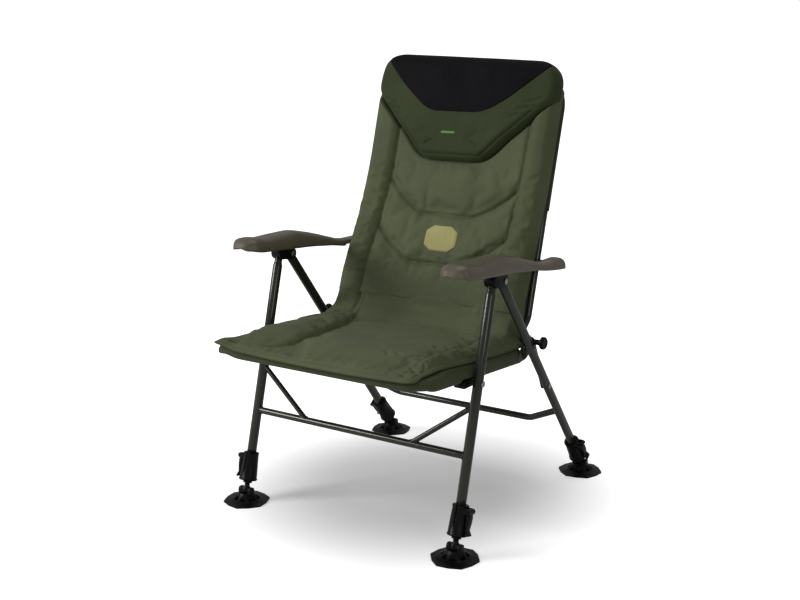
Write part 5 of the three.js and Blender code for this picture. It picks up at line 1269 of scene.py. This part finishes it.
# %% Back sling
BACK_SLING_FROM = 0.233
BACK_SLING_WALL = 0.0023
SLEEVE_SQUARENESS = 14


def back_sling():
    """Rows up the back, columns round a flattened sleeve that is wide enough to hold both tubes."""
    outer = BACK_TUBE_RADIUS + BACK_SLING_WALL
    top = BACK_TOP + outer
    s = np.linspace(BACK_SLING_FROM, top, 90)
    corner = BACK_CORNER + outer
    short = 1 - np.clip((top - s) / corner, 0, 1)
    half = BACK_TUBE_X + outer - corner * (1 - np.sqrt(np.maximum(1 - short**2, 0)))
    turn = np.linspace(0, 2 * math.pi, 161)[:-1] + 0.0001
    x = half[:, None] * powered(np.cos(turn), 2 / SLEEVE_SQUARENESS)
    close = round_edge(top - s, 0.012)[:, None]
    inside = step(BACK_TUBE_X - np.abs(x), 0.012, 0.05)
    wave = swells(x, s[:, None] * np.ones_like(x), 0.04) * 0.0014
    depth = outer * powered(np.sin(turn), 0.55) * (1 - 0.55 * inside) + wave * inside
    grid = on_back(x, s[:, None], depth * (0.1 + 0.9 * close))
    sling = skin("back_sling", grid, dark_olive_cloth, around=True, ends="fan")
    attach(sling, "back", "olive_cloth", "back_cover")


back_sling()

# %% [markdown]
# The mattress of the back has the most to show: a paler middle crossed by two seams that hang like swags,
# and bolsters down both sides. Near a seam the padding is drawn down and the cloth puckers. Under the
# pillow it is pressed flat, so the pillow's outline is laid down here too.

# %% Back mattress
BACK_FROM = -0.024
PAD_FROM = -0.021  # where the foot's padding ends
BACK_TO = 0.548
BACK_HALF = 0.248
BACK_TOP_HALF = 0.214
SHOULDER = 0.492
FOOT_SHIFT = 0.012  # how much wider the left half is at the foot, and up to which height
FOOT_SHIFT_TO = 0.22
BACK_THICK = 0.038
BACK_RIM = 0.004
# How far the foot stands off the back's line, and the heights between which that eases off
BACK_FOOT_SET = 0.032
FOOT_SET_FROM = -0.042
FOOT_SET_TO = 0.340
BACK_BOLSTER_WIDTH = 0.070
BACK_BOLSTER_RISE = 0.009
PANEL_HALF = BACK_HALF - BACK_BOLSTER_WIDTH
PANEL_SHIFT = 0.012  # the padding's seams stray to the right between these heights
STRAY_FROM = -0.04
STRAY_TO = 0.36
SEAM_DEPTH = 0.015
SEAMS = (0.075, 0.194)
SEAM_RISE = 0.076
SEAM_FLAT = 0.36  # share of the half width over which a hanging seam stays flat
FOLD_TO = 0.034  # where the fold meets the back's face
PRESSED = 0.014  # thickness that is left under the pillow
PATCH_PLACE = (0.012, 0.136)
PATCH_HALF = (0.044, 0.031)
PATCH_LIFT = 0.0022
BACK_CREASES = [
    ((-0.15, 0.108), (-0.10, 0.078), 0.004, 0.006),
    ((0.06, 0.082), (0.15, 0.118), 0.004, 0.007),
    ((0.10, 0.095), (0.17, 0.150), 0.003, 0.006),
    ((-0.02, 0.10), (0.05, 0.055), 0.0015, 0.012),
]
# Height up the back and the pillow's half width there
PILLOW_SIDES = np.array([
    (0.323, 0.050), (0.3245, 0.066), (0.328, 0.080), (0.335, 0.092), (0.350, 0.110), (0.380, 0.138),
    (0.410, 0.170), (0.446, 0.206), (0.466, 0.228), (0.482, 0.2405), (0.502, 0.2450), (0.524, 0.2445),
    (0.543, 0.2400), (0.558, 0.2310), (0.570, 0.2170), (0.576, 0.2040), (0.579, 0.192), (0.580, 0.178),
])
PILLOW_FOOT, PILLOW_TO = PILLOW_SIDES[0, 0], PILLOW_SIDES[-1, 0]


def pillow_width(s):
    """Half width of the pillow at a height, smoothly through its listed places."""
    return smooth_through(np.clip(s, PILLOW_FOOT, PILLOW_TO), *PILLOW_SIDES.T)


def back_half(s):
    """Half width of the back's mattress at a height."""
    return BACK_HALF - (BACK_HALF - BACK_TOP_HALF) * step(s, SHOULDER + 0.012, BACK_TO)


def strayed(x, s):
    """Place across the back, measured from the middle of the seams."""
    return x - PANEL_SHIFT * step(s, STRAY_FROM, STRAY_TO)


def lowered(x, s):
    """Height over the lowest point of a hanging seam: it is flat in its middle, then climbs to its ends."""
    t = np.clip(np.abs(strayed(x, s)) / PANEL_HALF, 0, 1)
    return s - SEAM_RISE * np.clip((t - SEAM_FLAT) / (1 - SEAM_FLAT), 0, 1) ** 1.45


def back_relief(x, s, from_seam):
    """Everything that is pressed into the back's face: seams, puckers, swells and creases."""
    middle = step(from_seam, 0.004, -0.01)
    relief = groove(from_seam, 0.0070, 0.0034)
    relief = relief + swells(x * 0.3, s, 0.016, 4) * np.exp(-np.abs(from_seam) / 0.015) * 0.0015
    for n, seam in enumerate(SEAMS):
        gap = lowered(x, s) - seam
        valley = groove(gap, SEAM_DEPTH * 0.6, 0.0045) - SEAM_DEPTH * 0.4 * np.exp(-((gap / 0.022) ** 2))
        pucker = swells(x, gap * 0.3, 0.013, n) * np.exp(-np.abs(gap) / 0.02) * 0.0018
        relief = relief + (valley + pucker) * middle
    relief = relief + swells(x, s, 0.09, 8) * 0.0022 + swells(x, s, 0.035, 1) * 0.0009
    return relief + sum(crease(x, s, *line) for line in BACK_CREASES)


def back_faces(x, s):
    """Depths of the mattress's front and rear faces, and how far past the bolster's seam a point lies."""
    from_seam = np.abs(strayed(x, s)) - PANEL_HALF
    edge_in = back_half(s) - np.abs(x)
    ends = np.minimum(s - PAD_FROM, BACK_TO - s)
    round_all = round_edge(ends + 0.004, 0.012) * round_edge(edge_in, 0.018)
    relief = back_relief(x, s, from_seam) * step(edge_in, 0.002, 0.02) * step(ends, 0.002, 0.02)
    bolster = step(from_seam, -0.004, 0.022) * step(edge_in, 0, 0.034)
    thick = BACK_THICK + BACK_BOLSTER_RISE * bolster
    under = PANEL_FRONT + 0.0003 + BACK_FOOT_SET * (1 - step(s, FOOT_SET_FROM, FOOT_SET_TO))
    front = np.maximum(under + BACK_RIM + (thick - BACK_RIM) * round_all + relief, under + BACK_RIM)
    tucked = step(s, PILLOW_FOOT - 0.006, PILLOW_FOOT + 0.020)
    tucked = tucked * step(pillow_width(s) - np.abs(x), -0.012, 0.015)
    front = front * (1 - tucked) + np.minimum(front, under + PRESSED) * tucked
    return front, under, from_seam


def back_still(x, s, from_seam):
    """Where the back's face is held while it is blown up: seams, patch, rim, fold and pillow."""
    seamed = sum(np.abs(lowered(x, s) - seam) < 0.004 for seam in SEAMS) > 0
    off_x, off_s = np.abs(x - PATCH_PLACE[0]) - PATCH_HALF[0], np.abs(s - PATCH_PLACE[1]) - PATCH_HALF[1]
    patched = (off_x < 0.006) & (off_s < 0.006)
    still = (seamed & (from_seam < 0)) | (np.abs(from_seam) < SEAM_HELD) | patched
    still = still | (np.abs(x) > back_half(s) - 0.012)
    return still | (s < FOLD_TO + FOLD_CLEAR) | (s > PILLOW_FOOT - 0.006)


def back_mattress():
    """The mattress: rows up the back, columns across its face and its rear."""
    s = np.linspace(BACK_FROM, BACK_TO, 236)
    x = back_half(s)[:, None] * crowded(205)
    ss = np.broadcast_to(s[:, None], x.shape)
    front, under, from_seam = back_faces(x, ss)
    wide = x + FOOT_SHIFT * np.minimum(x, 0) / BACK_HALF * (1 - step(ss, 0.0, FOOT_SHIFT_TO))
    still = back_still(x, ss, from_seam)
    faces = (on_back(wide, ss, depth) for depth in (front, under))
    mat = mattress("back_mattress", *faces, still, from_seam, 0.55)
    attach_soft(mat, "back", "pale_olive_cloth", "back_cushion")


back_mattress()

# %% [markdown]
# Where the seat turns up into the back, the padding is one soft roll that both mattresses run into. Its
# face is a curve that leaves each of them along its own slope, gathered near the bolsters' seams, and
# its rear is straight.

# %% Fold between seat and back
FOLD_ROWS = 46
FOLD_COLUMNS = 151
FOLD_HALF = 0.2505
FOLD_LEFT = 1.035  # the left half is a little wider, as the mattress's left half is
FOLD_LEFT_TAPER = 0.010
FOLD_TUCK = 0.0022
FOLD_UPPER_TUCK = 0.0018
FOLD_FULLNESS = 1.05
FOLD_REACH = 0.012  # over this length the slope of each mattress is measured
FOLD_NORMAL = np.array([0, -0.72, 0.69])
HINGE_LOW = (0.0535, 0.010)  # place along the seat and height over its rail
HINGE_HIGH = (-0.004, 0.0475)  # place along the back and depth in front of its line


def seat_face(x, y):
    return on_seat(x, y, mattress_top(x, y)[0] - FOLD_TUCK)


def back_face(x, s):
    return on_back(x, s, back_faces(x, s)[0] - FOLD_UPPER_TUCK)


def fold_curve(x, v):
    """The cubic (2v^3 - 3v^2 + 1) start + (v^3 - 2v^2 + v) leave + (3v^2 - 2v^3) end + (v^3 - v^2) arrive,
    where leave and arrive are the mattresses' slopes times the distance from start to end."""
    seat_y, back_s = np.full_like(x, FOLD_FROM), np.full_like(x, FOLD_TO)
    start, before = seat_face(x, seat_y), seat_face(x, seat_y - FOLD_REACH)
    end, after = back_face(x, back_s), back_face(x, back_s + FOLD_REACH)
    chord = np.linalg.norm(end - start, axis=-1, keepdims=True) * FOLD_FULLNESS / FOLD_REACH
    leave, arrive = (start - before) * chord, (after - end) * chord
    curve = (2 * v**3 - 3 * v**2 + 1) * start + (v**3 - 2 * v**2 + v) * leave
    return curve + (3 * v**2 - 2 * v**3) * end + (v**3 - v**2) * arrive, end


def fold_pad():
    """Rows from the seat up to the back, columns across the face and the straight rear."""
    t = np.linspace(0, 1, FOLD_ROWS)[:, None]
    x = FOLD_HALF * crowded(FOLD_COLUMNS)[None] + 0 * t
    curve, end = fold_curve(x, t[..., None])
    low, high = on_seat(x, *HINGE_LOW), on_back(x, *HINGE_HIGH)
    rear = low + (high - low) * t[..., None]
    swell = 0.25 + 0.75 * round_edge(FOLD_HALF - np.abs(x), 0.014)
    from_seam = np.abs(x) - PANEL_HALF
    gathers = swells(x, t * 0.03, 0.011, 12) * np.exp(-np.abs(from_seam) / 0.020) * 0.0040
    ridges = swells(x * 0.22, t * 0.10, 0.012, 13) * 0.0034
    relief = (gathers + ridges + groove(from_seam, 0.0065, 0.0045)) * np.sin(math.pi * t) * swell
    face = rear + (curve - rear) * swell[..., None] + relief[..., None] * FOLD_NORMAL
    for layer in (face, rear):
        layer[..., 0] *= np.where(layer[..., 0] < 0, FOLD_LEFT - FOLD_LEFT_TAPER * t, 1)
    # Past the bolsters' seams the fold takes the bolsters' darker cloth, which is painted shade.
    pad = sewn("fold_pad", face, rear, pale_olive_cloth, (bolster_painted_shade_cloth, with_rear(from_seam > 0)))
    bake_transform(pad)


fold_pad()

# %% [markdown]
# Two small things finish the back: a plain patch that is sewn on between the hanging seams, and a thin
# cord down each side of the mattress, in the corner between its face and its rear.

# %% Patch and cords of the back
PATCH_CORNER = 1.55  # past this sum of shares across and up, the patch's corners are cut off
PATCH_SINK = 0.0004
CORD_RISE = 0.0025


def patch():
    """A plain patch that lies on the face: its rim is round and its hem stands up a little."""
    v = np.linspace(-1, 1, 25)[:, None]
    u = np.linspace(-1, 1, 33)[None]
    x = PATCH_PLACE[0] + PATCH_HALF[0] * u * np.minimum(1, PATCH_CORNER - np.abs(v))
    s = PATCH_PLACE[1] + PATCH_HALF[1] * v + 0 * x
    face = back_faces(x, s)[0]
    rim = np.minimum(1 - np.abs(u), 1 - np.abs(v))
    lift = PATCH_LIFT * (0.3 + 0.7 * round_edge(rim, 0.10)) + 0.0009 * np.exp(-(((rim - 0.16) / 0.05) ** 2))
    sheet = sewn("back_patch", on_back(x, s, face + lift), on_back(x, s, face - PATCH_SINK), khaki_patch)
    attach_soft(sheet, "back", "pale_olive_cloth")


def back_piping(side, sign):
    """A cord down one side of the mattress."""
    s = np.linspace(BACK_FROM + 0.012, SHOULDER, 90)
    x = sign * back_half(s)
    route = on_back(x, s, back_faces(x, s)[1] + CORD_RISE)
    piping = tube(f"back_piping_{side}", route, PIPING_RADIUS, dark_olive_cloth, sides=8)
    attach_soft(piping, "back", "pale_olive_cloth")


patch()
for side, sign in SIDES:
    back_piping(side, sign)

# %% [markdown]
# The pillow is a soft bag that hangs over the top tube, wide at its shoulders and narrow at its foot,
# with a smooth dark panel let into its face that runs up and over the top edge.

# %% Head pillow and its dark panel
PILLOW_BACK = 0.0279
PILLOW_THICK = 0.046
PILLOW_RIM = 0.004
PILLOW_SHIFT = 0.0055
PILLOW_SLANT = 0.0055
PILLOW_OVER = 0.030  # how far the pillow's rear reaches back over the top tube
PILLOW_CORD = 0.0016
PANEL_FOOT = 0.440
PANEL_LIFT = 0.0012
PANEL_EDGE = 0.006
BAR_X = (-0.030, 0.008)
BAR_S = (0.387, 0.3925)
BAR_LIFT = 0.0009
# Height up the panel as a share, and its half width there
PANEL_SIDES = np.array([
    (0, 0.052), (0.015, 0.066), (0.05, 0.080), (0.10, 0.095), (0.20, 0.116), (0.35, 0.144),
    (0.50, 0.169), (0.65, 0.192), (0.80, 0.214), (1.0, 0.230),
])
PILLOW_CREASES = [
    ((-0.215, 0.470), (-0.165, 0.455), 0.0030, 0.004),
    ((-0.205, 0.452), (-0.150, 0.440), 0.0032, 0.004),
    ((-0.190, 0.436), (-0.142, 0.428), 0.0024, 0.004),
    ((0.150, 0.452), (0.215, 0.462), 0.0028, 0.004),
    ((0.168, 0.470), (0.228, 0.482), 0.0028, 0.004),
    ((0.140, 0.436), (0.190, 0.444), 0.0022, 0.004),
    ((-0.10, 0.402), (-0.02, 0.380), 0.0022, 0.010),
    ((0.03, 0.376), (0.11, 0.398), 0.0022, 0.010),
    ((-0.075, 0.358), (-0.045, 0.372), 0.0030, 0.004),
    ((0.080, 0.356), (0.050, 0.372), 0.0030, 0.004),
]


def pillow_shift(s):
    """The head of the pillow is dragged a little to the right."""
    return PILLOW_SHIFT * step(s, 0.43, 0.49)


def slanted(x, s):
    """The pillow's head is a little higher on the left, and its right shoulder hangs lower."""
    return s - PILLOW_SLANT * x / 0.2 * step(s, 0.50, 0.575)


def pillow_depth(x, s):
    """How far the pillow's face stands in front of the back's line: full in its middle, thin at its rim."""
    inset = pillow_width(s) - np.abs(x - pillow_shift(s))
    low_end = s - PILLOW_FOOT
    high_end = PILLOW_TO - s
    roll = 0.034 - 0.016 * step(s, 0.44, 0.50)
    rim = round_edge(inset, roll) ** 0.8 * round_edge(low_end, 0.026) ** 0.8
    top = round_edge(high_end, 0.036)
    fill = 0.80 + 0.20 * np.cos(np.clip(x / 0.25, -1, 1) * math.pi / 2)
    wave = swells(x, s, 0.08, 12) * 0.0024 + swells(x, s, 0.03, 5) * 0.0010
    folds = sum(crease(x, s, *line) for line in PILLOW_CREASES)
    hem = groove(np.minimum(inset * 0.8, low_end) - 0.015, 0.0050, 0.0026)
    hem = hem * step(s, PANEL_FOOT + 0.03, PANEL_FOOT)
    full = PILLOW_THICK * fill - PILLOW_RIM + wave + folds
    return PILLOW_BACK + PILLOW_RIM + full * rim * top + hem * rim


def on_pillow(x, s, depth):
    """A point of the pillow, with its head slanted."""
    return on_back(x, slanted(x, s), depth)


def head_pillow():
    """Rows up the pillow, columns across its face and its rear, which wraps over the top tube."""
    t = np.linspace(0, 1, 190)
    s = PILLOW_FOOT + (PILLOW_TO - PILLOW_FOOT) * (0.7 * t + 0.3 * (0.5 - 0.5 * np.cos(math.pi * t)))
    x = pillow_shift(s)[:, None] + pillow_width(s)[:, None] * crowded(221)
    ss = np.broadcast_to(s[:, None], x.shape)
    inset = pillow_width(ss) - np.abs(x - pillow_shift(ss))
    over = step(ss, 0.525, 0.570) * round_edge(PILLOW_TO - ss, 0.02) * step(inset, 0.002, 0.040)
    front, rear = pillow_depth(x, ss), PILLOW_BACK - PILLOW_OVER * over
    pillow = sewn("pillow", on_pillow(x, ss, front), on_pillow(x, ss, rear), pillow_cloth)
    attach_soft(pillow, "back", "olive_cloth", "head_pillow")


def head_panel():
    """The panel copies the pillow's face and lifts off it by a thread's width, rounding at its edge."""
    s = np.linspace(PANEL_FOOT, PILLOW_TO - 0.0005, 110)
    half = smooth_through((s - s[0]) / (s[-1] - s[0]), *PANEL_SIDES.T)
    half = np.minimum(half, pillow_width(s) - 0.001)
    u = np.linspace(-1, 1, 141)
    x = pillow_shift(s)[:, None] + half[:, None] * u
    ss = np.broadcast_to(s[:, None], x.shape)
    face = pillow_depth(x, ss)
    inset = np.clip(np.minimum(half[:, None] * (1 - np.abs(u)), ss - s[0]) / PANEL_EDGE, 0, 1)
    lift = PANEL_LIFT * (0.1 + 0.9 * np.sqrt(inset))
    layers = (on_pillow(x, ss, face + lift), on_pillow(x, ss, face - 0.001))
    panel = sewn("dark_head_panel", *layers, black_cloth)
    attach_soft(panel, "back", "black_cloth", "head_panel")


def pillow_piping():
    """A cord along the pillow's lower rim, from one shoulder round its foot to the other."""
    s = np.linspace(PILLOW_FOOT, SHOULDER - 0.008, 70)
    half = pillow_width(s)
    foot = np.linspace(-half[0], half[0], 20)[1:-1]
    x = np.concatenate([-half[::-1], foot, half])
    s = np.concatenate([s[::-1], np.full(len(foot), PILLOW_FOOT), s])
    route = on_back(x + pillow_shift(s), s, PILLOW_BACK + CORD_RISE)
    cord = tube("pillow_piping", route, PILLOW_CORD, dark_olive_cloth, sides=8)
    attach_soft(cord, "back", "olive_cloth")


def stitched_bar():
    """A plain short bar of thread on the pillow."""
    x, s = np.meshgrid(np.linspace(*BAR_X, 25), np.linspace(*BAR_S, 7))
    face = pillow_depth(x, s)
    layers = (on_back(x, s, face + BAR_LIFT), on_back(x, s, face - PATCH_SINK))
    attach_soft(sewn("pillow_bar", *layers, green_thread), "back", "olive_cloth")


head_pillow()
head_panel()
pillow_piping()
stitched_bar()
